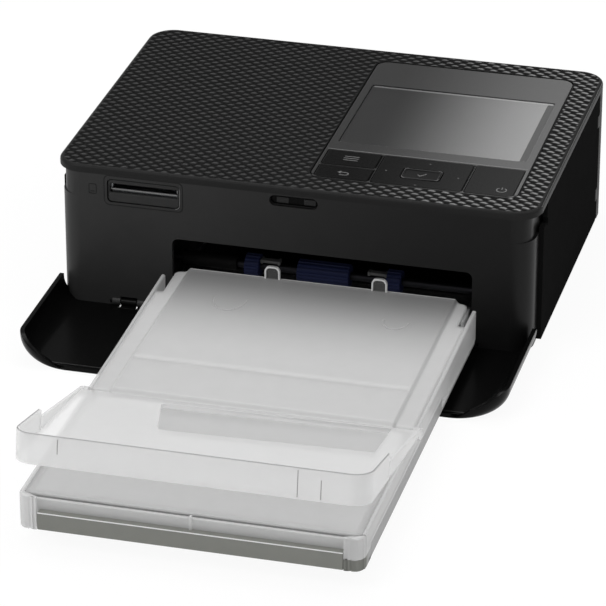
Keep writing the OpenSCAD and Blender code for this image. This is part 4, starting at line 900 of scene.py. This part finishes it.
def cassette_lids(size):
    """Rear and inner lids: sheets whose height is a soft step across and small grooves along.

    Rear lid: z = ledge + rise * soft step of the distance inside the plateau's edge.
    """
    at = Placed
    x0, t = at.tray_x, size.lid_thickness / MM
    half = at.tray_half - at.cassette_wall
    top, rise, plateau = at.wall_top, size.lid_rise / MM, 50.65
    slit, slit_end = 55.2, -17.5
    # foot and head of the plateau's slope; along the lid its near end, where it bends down,
    # a groove, and the radius of the plateau's far corners
    step, flat = plateau + 1.2, plateau - 0.6
    end, bend, groove, nose = -98, -95.4, -71.5, 2.4
    xs = stops([-half, -slit, -step, -flat, flat, step, slit, half], 1.2)
    xs = np.unique(np.concatenate([xs, np.linspace(-step, -flat, 7),
                                   np.linspace(flat, step, 7)]))
    us = np.unique(np.concatenate([stops([end, slit_end, -nose], 2.0),
                                   stops([-nose, 0, 1.0], 0.4), np.linspace(end, bend, 9),
                                   np.linspace(groove - 3.5, groove + 3.5, 15),
                                   np.linspace(0, 1.0, 5)]))
    x, u = np.meshgrid(xs, us)
    on_top = smooth((plateau + 0.9 - np.abs(x)) / 1.3)
    z = top + rise * on_top
    z = z - 0.4 * np.exp(-((u - groove) / 1.5) ** 2) * smooth((plateau - np.abs(x)) / 1)
    z = z - 1.2 * smooth((bend - u) / (bend - end)) - 0.3 * smooth((u - 0.6) / 0.4)
    turn = nose - np.sqrt(nose ** 2 - np.clip(u + nose, 0, nose) ** 2)
    x = np.where(np.abs(x) > step, np.sign(x) * (step + (np.abs(x) - step) * (
        1 - turn / (slit - step) * (np.abs(x) < slit + 0.01))), x)
    keep = np.ones((len(us) - 1, len(xs) - 1), bool)
    mid_u, mid_x = (us[1:] + us[:-1]) / 2, (xs[1:] + xs[:-1]) / 2
    keep[np.ix_(mid_u > 0, np.abs(mid_x) > step)] = False
    keep[np.ix_(mid_u > slit_end, np.abs(mid_x) > slit)] = False
    keep[np.ix_(mid_u < at.cover_u + 2.7, np.abs(mid_x) > half - 0.8)] = False
    form = Surface()
    # relief here is painted shade: the lid's plateau turns darker towards the printer
    form.grid(np.stack([x + x0, u + FRONT, z], -1), keep=keep,
              relief=on_top * smooth((u + 62) / 66))
    lid = form.piece("cassette_rear_lid_sheet", look("frosted_lid"), "cassette",
                     "frosted_plastic", "cassette_rear_lid", angle=50)
    no_shadow(thick(lid, t, (0, 0, 1)))
    tongues = (-18.6, 21.9)
    form = Surface()
    for dx in tongues:
        form.plate(rounded_box(dx, 1.9, 5.0, 6.2, 1.8), [], -0.95, 0.15, edge=0.2)
    form.tilt(UPRIGHT, (x0, FRONT, top + rise))
    form.piece("cassette_tongues", look("frosted_tongue"), "cassette", "frosted_plastic")
    line, radii = [(-plateau + 0.4, 0)], [0]
    for dx in tongues:
        line += [(dx - 2.6, 0), (dx - 2.6, 5.0), (dx + 2.6, 5.0), (dx + 2.6, 0)]
        radii += [0.6, 1.9, 1.9, 0.6]
    line, radii = line + [(plateau - 0.4, 0)], radii + [0]
    form = Surface()
    form.bar(softened_line(line, radii, 8), 0.6, -1.0, 0.2)
    form.tilt(UPRIGHT, (x0, FRONT, top + rise - 0.35))
    form.piece("cassette_rear_edge", look("edge_white"), "cassette", "frosted_plastic")
    form = Surface()
    for x, w, u, d in ((-28.9, 6.2, -19.5, 9.5), (33.6, 4.6, -21.5, 7)):
        a = np.radians(np.linspace(180, 360, 26))
        line = np.stack([x0 + x + w * np.cos(a), FRONT + u + d * np.sin(a)], 1)
        form.bar(line, 0.6, top + rise - 0.2, top + rise + 0.16)
    form.piece("cassette_finger_marks", look("frosted_mark"), "cassette",
               "frosted_plastic")
    near, bend, back = -170.1, -168.6, -98.05
    xs = stops([-half, half], 3.0)
    us = np.unique(np.concatenate([stops([near, back], 3.0), np.linspace(near, bend, 6)]))
    x, u = np.meshgrid(xs, us)
    z = top - 0.6 - 0.6 * smooth((bend - u) / 1.5) ** 2
    keep = np.ones((len(us) - 1, len(xs) - 1), bool)
    keep[np.ix_((us[1:] + us[:-1]) / 2 > at.cover_u - 3.3,
                np.abs((xs[1:] + xs[:-1]) / 2) > half - 3)] = False
    form = Surface()
    form.grid(np.stack([x + x0, u + FRONT, z], -1), keep=keep)
    lid = form.piece("cassette_inner_lid_sheet", look("inner_frosted"), "cassette",
                     "frosted_plastic", "cassette_inner_lid", angle=50)
    no_shadow(thick(lid, t, (0, 0, 1)))
    form = Surface()
    form.box((x0 - half, FRONT - 166, at.tray_z + 3.4), (x0 + half, FRONT - 164.6, top - 2),
             0.3)
    form.piece("cassette_inner_lip", look("frosted_plastic"), "cassette", "frosted_plastic")
    # thin light line on the tray bar's top edge: painted highlight
    form = Surface()
    form.box((x0 - 52.4, FRONT - 175.0, at.tray_z + 6.2),
             (x0 + 52.4, FRONT - 174.5, at.tray_z + 6.42), 0.1)
    form.piece("tray_bright_edge", look("edge_white"), "cassette", "frosted_plastic")


def no_shadow(obj):
    """Lets the light through a milky piece, which then throws no dark shadow inside."""
    obj.visible_shadow = False
    return obj


def thick(obj, amount, away):
    """Gives a sheet its thickness, on the side that faces away from a direction."""
    normals = np.zeros(3 * len(obj.data.polygons))
    obj.data.polygons.foreach_get("normal", normals)
    areas = np.zeros(len(obj.data.polygons))
    obj.data.polygons.foreach_get("area", areas)
    lean = (normals.reshape(-1, 3) * areas[:, None]).sum(0) @ np.array(away, float)
    solid = obj.modifiers.new("thickness", "SOLIDIFY")
    solid.thickness = amount * MM
    solid.offset = -1 if lean > 0 else 1
    return obj


def output_cover(size):
    """Raised cover: a floor with a window, a front wall that turns round both corners and
    side walls that grow from the hinge, laid out flat and then tilted about the hinge.

    A wall is a rounded upright strip carried along its path; its top height is a straight
    run of the distance from the hinge.
    """
    at = Placed
    x0, half, reach, floor, wall = at.tray_x, 61.0, 77.0, 0.5, size.cover_wall / MM
    tilt = size.cover_tilt
    # radii of the corners, and how far from the hinge the high wall begins
    radii, high_from = [7, 7, 0.4, 0.4], 48.2
    form = Surface()
    in_x, in_y = half - 0.25, reach - 0.25
    corners = [(-in_x, -in_y), (in_x, -in_y), (in_x, -3.2), (-in_x, -3.2)]
    hole = outline([(-23, -34), (51.5, -29.6), (51.5, -4.4), (-29.3, -7.6)], [3, 0.8, 0.8, 1.5],
                   5)
    form.plate(outline(corners, radii, 12), [hole], floor, floor + 2, edge=0.35,
               under=0.3)
    path = spread(outline([(-half, -reach), (half, -reach), (half, 10), (-half, 10)],
                          radii, 12), 2.5)
    points, out = path
    keep = points[:, 1] < -high_from + 0.05
    points, out = points[keep], out[keep]
    order = np.argsort(np.where(points[:, 1] > -reach + radii[0], np.sign(points[:, 0]) * (
        1000 + points[:, 1]), points[:, 0]))
    points, out = points[order], out[order]
    ends = np.array([[-half, -high_from], [half, -high_from]])
    points = np.vstack([ends[:1], points, ends[1:]])
    out = np.vstack([[-1.0, 0.0], out, [1.0, 0.0]])
    high = np.minimum(floor + 10.8, 9.6 + 0.07 * (-points[:, 1] - high_from))
    form.strip(points, out, np.full(len(points), floor + 0.02), high, wall)
    wall_line = points, out, high
    for s in (-1, 1):
        v = np.array([-2.4, 0.0, 1.0, 4.0, 20.0, 47.0])
        top = np.interp(v, [-2.4, 1, 47], [1.6, 2.6, 6.8])
        low = np.interp(v, [-2.4, 2, 4, 47], [-1.8, -1.8, 0.6, 0.6])
        points = np.stack([np.full(6, s * half), -v], 1)
        form.strip(points, np.tile([float(s), 0.0], (6, 1)), low, top, wall)
        form.lathe((s * (half - 2.1), 0, 0), "x", [(1.2, -1.8), (1.2, 2.0)], 24)
    c, n = math.cos(tilt), math.sin(tilt)
    place = ([[1, 0, 0], [0, c, n], [0, -n, c]], (x0, FRONT + at.cover_u, at.cover_z))
    form.tilt(*place)
    no_shadow(form.piece("output_cover_shell", look("clear_plastic"), "cassette_cover",
                         "frosted_plastic", "output_cover", angle=40))
    form = Surface()
    form.strip(wall_line[0] - wall_line[1] * 0.15, wall_line[1], wall_line[2] - 0.2,
               wall_line[2] + 0.06, 0.45)
    for x, z0, z1 in ((-44.8, 5.2, 10.4), (37.1, 1.2, 10.6), (45, 1.2, 8)):
        form.box((x - 0.14, -reach - 0.03, z0), (x + 0.14, -reach + 0.3, z1), 0.05)
    form.tilt(*place)
    form.piece("output_cover_lines", look("edge_grey"), "cassette_cover",
               "frosted_plastic")


def front_door(size):
    """Open door: a channel whose section runs down one side, round the long edge, along the
    floor and up the other side, carried from the hinge to the free edge. The sides' top
    drops along a quarter circle towards the free edge."""
    half, low, side_top = HALF, 0.3, 10.2
    wall, r, free_r = size.door_wall / MM, size.door_round / MM, 7.0
    free, back, arm = 0.6 - 53.2, -0.3, 4.0
    # knuckles of the hinge, the notches round them, the round of the free corners, and the
    # round between the floor's end and the arms
    knuckle, notch, notch_end, turn = 63, 3.5, -2.4, 11.0
    arm_wide, root = 1.5, 8
    a = np.radians(np.linspace(0, 90, 13))
    corner = np.stack([half - r + r * np.cos(a), low + r - r * np.sin(a)], 1)
    far, near = knuckle + notch, knuckle - notch
    flat = stops([-(half - r), -far, -near, near, far, half - r], 4.0)[1:-1][::-1]
    xs = np.concatenate([[half, half], corner[:, 0], flat, -corner[::-1, 0], [-half, -half]])
    zs = np.concatenate([[1.0, 0.5], corner[:, 1], np.full(len(flat), low), corner[::-1, 1],
                         [0.5, 1.0]])
    upright = np.concatenate([[1, 0.5], np.zeros(len(xs) - 4), [0.5, 1]])
    us = np.concatenate([free + free_r * (1 - np.cos(np.radians(np.linspace(0, 90, 14)))),
                         stops([free + free_r, free + turn, notch_end], 1.0)[1:],
                         stops([notch_end, back, arm], 0.7)[1:]])
    drop = side_top - free_r + np.sqrt(np.clip(free_r ** 2 - np.clip(
        free + free_r - us, 0, None) ** 2, 0, None))
    corner_z = low + r
    z = np.where(upright[None] > 0, corner_z + upright[None] * (side_top - corner_z), zs[None])
    z = np.minimum(np.broadcast_to(z, (len(us), len(xs))), drop[:, None])
    sunk = np.clip(r - (z - low), 0, r)
    edge_x = half - r + np.sqrt(r ** 2 - sunk ** 2)
    pull = turn - np.sqrt(turn ** 2 - np.clip(turn - (us - free), 0, turn) ** 2)[:, None]
    wide = np.minimum(np.abs(xs)[None], edge_x)
    x = np.where(np.abs(xs) > half - r - 0.01, wide - pull, wide * (1 - pull / (half - r)))
    x = np.sign(xs) * x
    bend = root - back
    aside = np.clip(np.abs(xs) - half + arm_wide + bend, 0, bend)
    stop = root - np.sqrt(np.clip(bend ** 2 - aside ** 2, 0, None))
    y = np.minimum(us[:, None], np.where(np.abs(xs) < half - arm_wide, stop, arm)) + FRONT
    keep = np.ones((len(us) - 1, len(xs) - 1), bool)
    mu, mx = (us[1:] + us[:-1]) / 2, (xs[1:] + xs[:-1]) / 2
    keep[np.ix_(mu > notch_end, (np.abs(mx) > near - 0.1) & (np.abs(mx) < far + 0.1))] = False
    form = Surface()
    form.grid(np.stack([x, y, z], -1), keep=keep)
    door = form.piece("front_door_shell", look("door_black"), "door", "black_plastic",
                      "front_door", angle=50)
    thick(door, wall, (0, 0, -1))
    bevel = door.modifiers.new("rounded edges", "BEVEL")
    bevel.width = 0.45 * MM
    bevel.segments = 3
    bevel.limit_method = "ANGLE"
    bevel.angle_limit = math.radians(50)
    form = Surface()
    for s in (-1, 1):
        x = s * knuckle
        form.tube((x, FRONT + 0.6, 3.0), "x", 1.5, 0.95, -3, 3)
        form.box((x - 3, FRONT - 2.6, 0.32), (x + 3, FRONT - 0.2, 2.0), 0.3)
    for x in (-4.3, 6):
        form.box((x - 2.65, FRONT + free + 2, 0.8), (x + 2.65, FRONT + free + 3.5, 3.8), 0.3)
    form.piece("front_door_knuckles", look("door_black"), "door", "black_plastic")
    # raised lip along the door's inner edge, in a lighter grey that is a painted highlight
    form = Surface()
    inside = turn - 1.7
    for s in (-1, 1):
        a = np.radians(np.linspace(0, 90, 14))
        turn_x = half - turn + inside * np.cos(a) - 4.2 * np.sin(a)
        turn_u = free + turn - inside * np.sin(a)
        line = np.stack([s * np.append(turn_x, 8), np.append(turn_u, turn_u[-1])], 1)
        form.bar(line[11:] + (0, FRONT), 0.4, low + 1.5, low + 1.9)
    form.piece("front_door_lip", look("lip_black"), "door", "black_plastic")


def feed_rollers(size):
    """Ribbed rollers: the radius goes round as a plateau wave with sixteen ribs."""
    at = Placed
    low, high = extent("pickup_rollers")
    y, z, r = (low[1] + high[1]) / 2, (low[2] + high[2]) / 2, (high[2] - low[2]) / 2
    deep, count = size.rib_depth / MM / r, 16

    def ribs(a):
        return 1 - deep * smooth(np.abs((a * count / (2 * math.pi)) % 1 - 0.5) * 5 - 0.9)

    form = Surface()
    for x0, x1 in ((-32.4, -26.8), (-12.2, 7.6), (21.8, 27.2)):
        line = softened_line([(1.5, x0), (r, x0), (r, x1), (1.5, x1)], [0, 0.35, 0.35, 0])
        form.lathe((at.tray_x, y, z), "x", line, 160, ribs)
    form.piece("pickup_rollers_ribbed", look("blue_rubber"), "pickup", "blue_rubber",
               "pickup_rollers", angle=40)
    # near black sleeve on the pickup shaft; its dark_inside finish paints the shade deep inside
    # the case
    form = Surface()
    form.lathe((0, y, z), "x", softened_line([(1.4, -45.4), (2.8, -45.4), (2.8, -24.6),
                                              (1.4, -24.6)], [0, 0.3, 0.3, 0]), 32)
    form.piece("pickup_sleeve", look("dark_inside"), "pickup", "rubber")
    form = Surface()
    for x0, x1 in ((-15.2, -8.6), (25.8, 32.2)):
        form.box((x0, y - 1.2, z + 1.9), (x1, y + 1.2, z + 3.0), 0.25)
        for x in (x0, x1):
            form.box((x - 0.5, y - 1.6, z + 1.7), (x + 0.5, y + 1.6, z + 3.2), 0.2)
    form.piece("pickup_brackets", look("bracket_grey"), "printer", "grey_plastic")


def card_slot():
    """Card frame: a rounded rim flush with the front, a sunk plate with the slot in it and
    a bright edge inside the slot, a painted highlight on the rim's lower right corner, and
    round the frame a dark ring of painted shade. Above them, a dark ring of painted shade
    round the catch and a near black ground of painted shade in its recess."""
    low, high = extent("card_slot_frame")
    x, z = (low[0] + high[0]) / 2, (low[2] + high[2]) / 2
    w, h = high[0] - low[0], high[2] - low[2]
    slot_w, slot_h = 25.8, 3.6
    upright = (UPRIGHT, (0, FRONT, 0))
    form = Surface()
    form.plate(rounded_box(x, z, w + 1.4, h + 1.4, 1.2, 6),
               [rounded_box(x, z, w - 1, h - 1, 1.7, 8)], -0.8, 0.03, edge=0.12)
    form.plate(rounded_box(x, z, w - 1.5, h - 1.5, 1.5, 8),
               [rounded_box(x, z + 1, slot_w, slot_h, 0.3, 5)], -1.4, -0.35, edge=0.3)
    form.tilt(*upright)
    form.piece("card_slot_plate", look("front_black"), "printer", "front_black",
               "card_slot_frame")
    form = Surface()
    # a light bar inside the slot; along the rim's lower right corner and right side, a painted
    # highlight
    form.box((x - 12.7, z + 0.15, -1.9), (x + 12.7, z + 0.5, -1.2), 0.08)
    form.bar(rounded_box(x, z, w - 1.1, h - 1.1, 1.6, 6)[0][6:14], 0.12, -0.2, -0.02)
    form.tilt(*upright)
    form.piece("card_slot_edge", look("glint_grey"), "printer", "steel")
    # dark ring round the frame: painted shade of the gap round it
    form = Surface()
    form.plate(rounded_box(x, z + 0.2, w + 1.7, h + 1.8, 2.1, 8),
               [rounded_box(x, z + 0.2, w + 0.7, h + 0.8, 1.7, 8)], -0.6, 0.04, edge=0.1)
    form.tilt(*upright)
    form.piece("card_slot_groove", look("mark_dark"), "printer", "front_black")
    x, z, w, h = 0.5, 52.1, 17.8, 3.8
    # dark ring round the catch: painted shade of the gap round it
    form = Surface()
    loop = rounded_box(x, z, w, h, 1.89, 9)
    form.plate((loop[0] + loop[1] * 0.25, loop[1]), [loop], -0.6, 0.05, edge=0.1)
    form.tilt(*upright)
    form.piece("catch_rim", look("mark_dark"), "printer", "front_black")
    # near black ground in the catch's recess: painted shade
    form = Surface()
    form.plate(rounded_box(x, z, w - 0.1, h - 0.1, 1.8, 9), [], -1.7, -1.3)
    form.tilt(*upright)
    form.piece("catch_recess", look("door_black"), "printer", "black_plastic")


class PrinterSizes(bpy.types.PropertyGroup):
    """Sizes a user may change, in metres and radians."""
    edge_round: FloatProperty(name="Edge rounding", description="Rounding of the top edge",
                              default=0.0013, unit="LENGTH")
    corner_round: FloatProperty(name="Corner rounding", description="Radius of the corners",
                                default=0.010, unit="LENGTH")
    relief_depth: FloatProperty(name="Relief depth", description="Depth of the top's relief",
                                default=0.00036, unit="LENGTH")
    panel_corner: FloatProperty(name="Panel corner", description="Radius of the panel's corners",
                                default=0.0045, unit="LENGTH")
    key_edge: FloatProperty(name="Key rounding", description="Rounding of the keys' rims",
                            default=0.00035, unit="LENGTH")
    mark_width: FloatProperty(name="Mark width", description="Width of the keys' marks",
                              default=0.00042, unit="LENGTH")
    lid_thickness: FloatProperty(name="Lid thickness",
                                 description="Thickness of the cassette's lids",
                                 default=0.0014, unit="LENGTH")
    lid_rise: FloatProperty(name="Lid rise", description="Height of the rear lid's step",
                            default=0.0013, unit="LENGTH")
    cover_wall: FloatProperty(name="Cover wall", description="Thickness of the cover's walls",
                              default=0.0013, unit="LENGTH")
    cover_tilt: FloatProperty(name="Cover tilt", description="Tilt of the raised cover",
                              default=math.radians(9.3), subtype="ANGLE")
    door_wall: FloatProperty(name="Door wall", description="Thickness of the door",
                             default=0.0016, unit="LENGTH")
    door_round: FloatProperty(name="Door rounding", description="Radius of the door's long edges",
                              default=0.009, unit="LENGTH")
    rib_depth: FloatProperty(name="Rib depth", description="Depth of the feed rollers' ribs",
                             default=0.00045, unit="LENGTH")


def hue(name, description, colour):
    """Colour setting with its default."""
    return FloatVectorProperty(name=name, description=description, default=colour,
                               subtype="COLOR", size=3, min=0, max=1)


class PrinterColours(bpy.types.PropertyGroup):
    """Colours a user may change."""
    lattice: hue("Lattice", "Hollows of the top's relief", grey(5))
    # colour of the painted highlights on the crests of the top's relief
    crest_highlight: hue("Crests", "Crests of the top's relief", grey(150))
    front: hue("Front", "Front of the case", grey(44))
    side: hue("Sides", "Sides of the case", grey(24))
    panel: hue("Panel", "Plate round the display", grey(47))
    key: hue("Keys", "Keys", grey(12))
    mark: hue("Marks", "Marks on the keys", grey(104))
    screen: hue("Screen", "Display that is off", grey(58))
    door: hue("Door", "Front door", grey(9))
    roller: hue("Rollers", "Feed rollers", tinted(26, 33, 66))
    tray: hue("Tray", "Bar and floor of the cassette", tinted(122, 123, 118))
    walls: hue("Walls", "Milky walls of the cassette", grey(206))
    lid: hue("Lid", "Milky lids of the cassette", grey(190))
    cover: hue("Cover", "Clear cover of the cassette", grey(218))


class PRINTER_OT_solids(bpy.types.Operator):
    """Give the solids that keep their shape their finish"""
    bl_idname = "printer.solids"
    bl_label = "Plain solids"

    def execute(self, context):
        for node, name in KEPT.items():
            NODES[node].data.materials.clear()
            NODES[node].data.materials.append(look(name))
        return {"FINISHED"}


class PRINTER_OT_case(bpy.types.Operator):
    """Round the edges of the case's shells and of the tray"""
    bl_idname = "printer.case"
    bl_label = "Case and tray"

    def execute(self, context):
        for node, (name, *how) in EASED.items():
            eased(node, look(name), *how)
        return {"FINISHED"}


class PRINTER_OT_top_cover(bpy.types.Operator):
    """Make the top cover with its relief, rim and posts"""
    bl_idname = "printer.top_cover"
    bl_label = "Top cover"

    def execute(self, context):
        top_cover(context.scene.printer_sizes)
        return {"FINISHED"}


class PRINTER_OT_control_panel(bpy.types.Operator):
    """Make the plate round the display and the keys"""
    bl_idname = "printer.control_panel"
    bl_label = "Control panel"

    def execute(self, context):
        control_panel(context.scene.printer_sizes)
        return {"FINISHED"}


class PRINTER_OT_display(bpy.types.Operator):
    """Make the window and the display behind it"""
    bl_idname = "printer.display"
    bl_label = "Display"

    def execute(self, context):
        display()
        return {"FINISHED"}


class PRINTER_OT_keys(bpy.types.Operator):
    """Make the keys"""
    bl_idname = "printer.keys"
    bl_label = "Keys"

    def execute(self, context):
        keys(context.scene.printer_sizes)
        return {"FINISHED"}


class PRINTER_OT_marks(bpy.types.Operator):
    """Make the marks on the keys and beside the card slot"""
    bl_idname = "printer.marks"
    bl_label = "Marks"

    def execute(self, context):
        marks(context.scene.printer_sizes)
        return {"FINISHED"}


class PRINTER_OT_cassette_walls(bpy.types.Operator):
    """Make the milky side walls of the cassette"""
    bl_idname = "printer.cassette_walls"
    bl_label = "Cassette walls"

    def execute(self, context):
        cassette_walls()
        return {"FINISHED"}


class PRINTER_OT_cassette_lids(bpy.types.Operator):
    """Make the rear and inner lids of the cassette"""
    bl_idname = "printer.cassette_lids"
    bl_label = "Cassette lids"

    def execute(self, context):
        cassette_lids(context.scene.printer_sizes)
        return {"FINISHED"}


class PRINTER_OT_output_cover(bpy.types.Operator):
    """Make the raised cover of the cassette"""
    bl_idname = "printer.output_cover"
    bl_label = "Output cover"

    def execute(self, context):
        output_cover(context.scene.printer_sizes)
        return {"FINISHED"}


class PRINTER_OT_front_door(bpy.types.Operator):
    """Make the open front door"""
    bl_idname = "printer.front_door"
    bl_label = "Front door"

    def execute(self, context):
        front_door(context.scene.printer_sizes)
        return {"FINISHED"}


class PRINTER_OT_feed_rollers(bpy.types.Operator):
    """Make the ribbed feed rollers and their brackets"""
    bl_idname = "printer.feed_rollers"
    bl_label = "Feed rollers"

    def execute(self, context):
        feed_rollers(context.scene.printer_sizes)
        return {"FINISHED"}


class PRINTER_OT_card_slot(bpy.types.Operator):
    """Make the card frame and the rim and ground of the catch"""
    bl_idname = "printer.card_slot"
    bl_label = "Card slot"

    def execute(self, context):
        card_slot()
        return {"FINISHED"}


class PRINTER_OT_stage(bpy.types.Operator):
    """Make the floor, the lights, the background and the camera"""
    bl_idname = "printer.stage"
    bl_label = "Stage"

    def execute(self, context):
        scene = context.scene
        scene.view_settings.view_transform = "Standard"
        mesh = bpy.data.meshes.new("floor")
        far = 4
        corners = [(-far, -far, 0), (far, -far, 0), (far, far, 0), (-far, far, 0)]
        mesh.from_pydata(corners, [], [(0, 1, 2, 3)])
        floor = bpy.data.objects.new("floor", mesh)
        scene.collection.objects.link(floor)
        mat = bpy.data.materials.new("floor_white")
        mat.use_nodes = True
        nodes, links = mat.node_tree.nodes, mat.node_tree.links
        nodes.clear()
        out = added(nodes, "OutputMaterial")
        diffuse = added(nodes, "BsdfDiffuse", {"Color": (0.9, 0.9, 0.9, 1)})
        glow = added(nodes, "Emission")
        mix = added(nodes, "MixShader")
        links.new(self.seen(nodes, links, 0.93), mix.inputs["Fac"])
        links.new(diffuse.outputs["BSDF"], mix.inputs[1])
        links.new(glow.outputs["Emission"], mix.inputs[2])
        links.new(mix.outputs["Shader"], out.inputs["Surface"])
        mesh.materials.append(mat)

        world = bpy.data.worlds.new("studio")
        scene.world = world
        world.use_nodes = True
        nodes, links = world.node_tree.nodes, world.node_tree.links
        back = nodes["Background"]
        back.inputs["Color"].default_value = (1, 1, 1, 1)
        # the background is white; above it, reflections show a dim ceiling
        height = added(nodes, "SeparateXYZ")
        links.new(added(nodes, "TexCoord").outputs["Generated"], height.inputs[0])
        ceiling = added(nodes, "MapRange", {"From Min": 0.1, "From Max": 0.35,
                                            "To Min": 1.0, "To Max": 0.22})
        links.new(height.outputs["Z"], ceiling.inputs["Value"])
        path = added(nodes, "LightPath")
        shown = added(nodes, "Math", operation="MAXIMUM")
        links.new(path.outputs["Is Camera Ray"], shown.inputs[0])
        links.new(path.outputs["Is Transmission Ray"], shown.inputs[1])
        plain = added(nodes, "MapRange", {"To Min": 0.48, "To Max": 1.0})
        links.new(shown.outputs[0], plain.inputs["Value"])
        strength = added(nodes, "Mix")
        links.new(path.outputs["Is Glossy Ray"], strength.inputs["Factor"])
        links.new(plain.outputs["Result"], strength.inputs["A"])
        links.new(ceiling.outputs["Result"], strength.inputs["B"])
        links.new(strength.outputs["Result"], back.inputs["Strength"])

        self.lamp(scene, "key_light", (-0.75, -0.75, 1.25), 1.0, 12)
        self.lamp(scene, "fill_light", (0.95, 0.35, 1.1), 0.9, 5)
        self.lamp(scene, "top_light", (-0.15, 0.6, 1.25), 0.8, 7)

        camera = bpy.data.cameras.new("camera")
        camera.lens = 234.33
        camera.sensor_width = 36
        camera.clip_start = 0.05
        camera.clip_end = 20
        eye = bpy.data.objects.new("camera", camera)
        eye.location = (0.33342, -1.2332565, 0.66538)
        eye.rotation_euler = [math.radians(a) for a in (63.247, 0, 14.709)]
        scene.collection.objects.link(eye)
        scene.camera = eye
        return {"FINISHED"}

    @staticmethod
    def seen(nodes, links, top):
        """Node output that is top for rays that see, reflect or pass on the background."""
        path = added(nodes, "LightPath")
        a = added(nodes, "Math", operation="MAXIMUM")
        b = added(nodes, "Math", operation="MAXIMUM")
        c = added(nodes, "Math", {1: top}, operation="MULTIPLY")
        links.new(path.outputs["Is Camera Ray"], a.inputs[0])
        links.new(path.outputs["Is Glossy Ray"], a.inputs[1])
        links.new(a.outputs[0], b.inputs[0])
        links.new(path.outputs["Is Transmission Ray"], b.inputs[1])
        links.new(b.outputs[0], c.inputs[0])
        return c.outputs[0]

    @staticmethod
    def lamp(scene, name, place, size, energy):
        """Soft square light that faces the object."""
        data = bpy.data.lights.new(name, "AREA")
        data.shape = "SQUARE"
        data.size = size
        data.energy = energy
        obj = bpy.data.objects.new(name, data)
        obj.location = place
        aim = Vector((0, 0.05, 0.03)) - Vector(place)
        obj.rotation_euler = aim.to_track_quat("-Z", "Y").to_euler()
        scene.collection.objects.link(obj)


class PRINTER_PT_panel(bpy.types.Panel):
    """Settings and steps of the printer"""
    bl_idname = "PRINTER_PT_panel"
    bl_label = "Compact photo printer"
    bl_space_type = "VIEW_3D"
    bl_region_type = "UI"
    bl_category = "Printer"

    def draw(self, context):
        for title, group in (("Sizes", context.scene.printer_sizes),
                             ("Colours", context.scene.printer_colours)):
            box = self.layout.box()
            box.label(text=title)
            for name in group.__annotations__:
                box.prop(group, name)
        box = self.layout.box()
        box.label(text="Pieces, in this order")
        for step in STEPS:
            box.operator(step.bl_idname)


STEPS = (PRINTER_OT_solids, PRINTER_OT_case, PRINTER_OT_top_cover, PRINTER_OT_control_panel,
         PRINTER_OT_display, PRINTER_OT_keys, PRINTER_OT_marks, PRINTER_OT_cassette_walls,
         PRINTER_OT_cassette_lids, PRINTER_OT_output_cover, PRINTER_OT_front_door,
         PRINTER_OT_feed_rollers, PRINTER_OT_card_slot, PRINTER_OT_stage)
CLASSES = (PrinterSizes, PrinterColours, *STEPS, PRINTER_PT_panel)


def register():
    for cls in CLASSES:
        bpy.utils.register_class(cls)
    bpy.types.Scene.printer_sizes = PointerProperty(type=PrinterSizes)
    bpy.types.Scene.printer_colours = PointerProperty(type=PrinterColours)


def unregister():
    del bpy.types.Scene.printer_colours
    del bpy.types.Scene.printer_sizes
    for cls in reversed(CLASSES):
        bpy.utils.unregister_class(cls)


def main():
    register()
    steps = bpy.ops.printer
    steps.solids()
    steps.case()
    steps.top_cover()
    steps.control_panel()
    steps.display()
    steps.keys()
    steps.marks()
    steps.cassette_walls()
    steps.cassette_lids()
    steps.output_cover()
    steps.front_door()
    steps.feed_rollers()
    steps.card_slot()
    steps.stage()


if __name__ == "__main__":
    main()
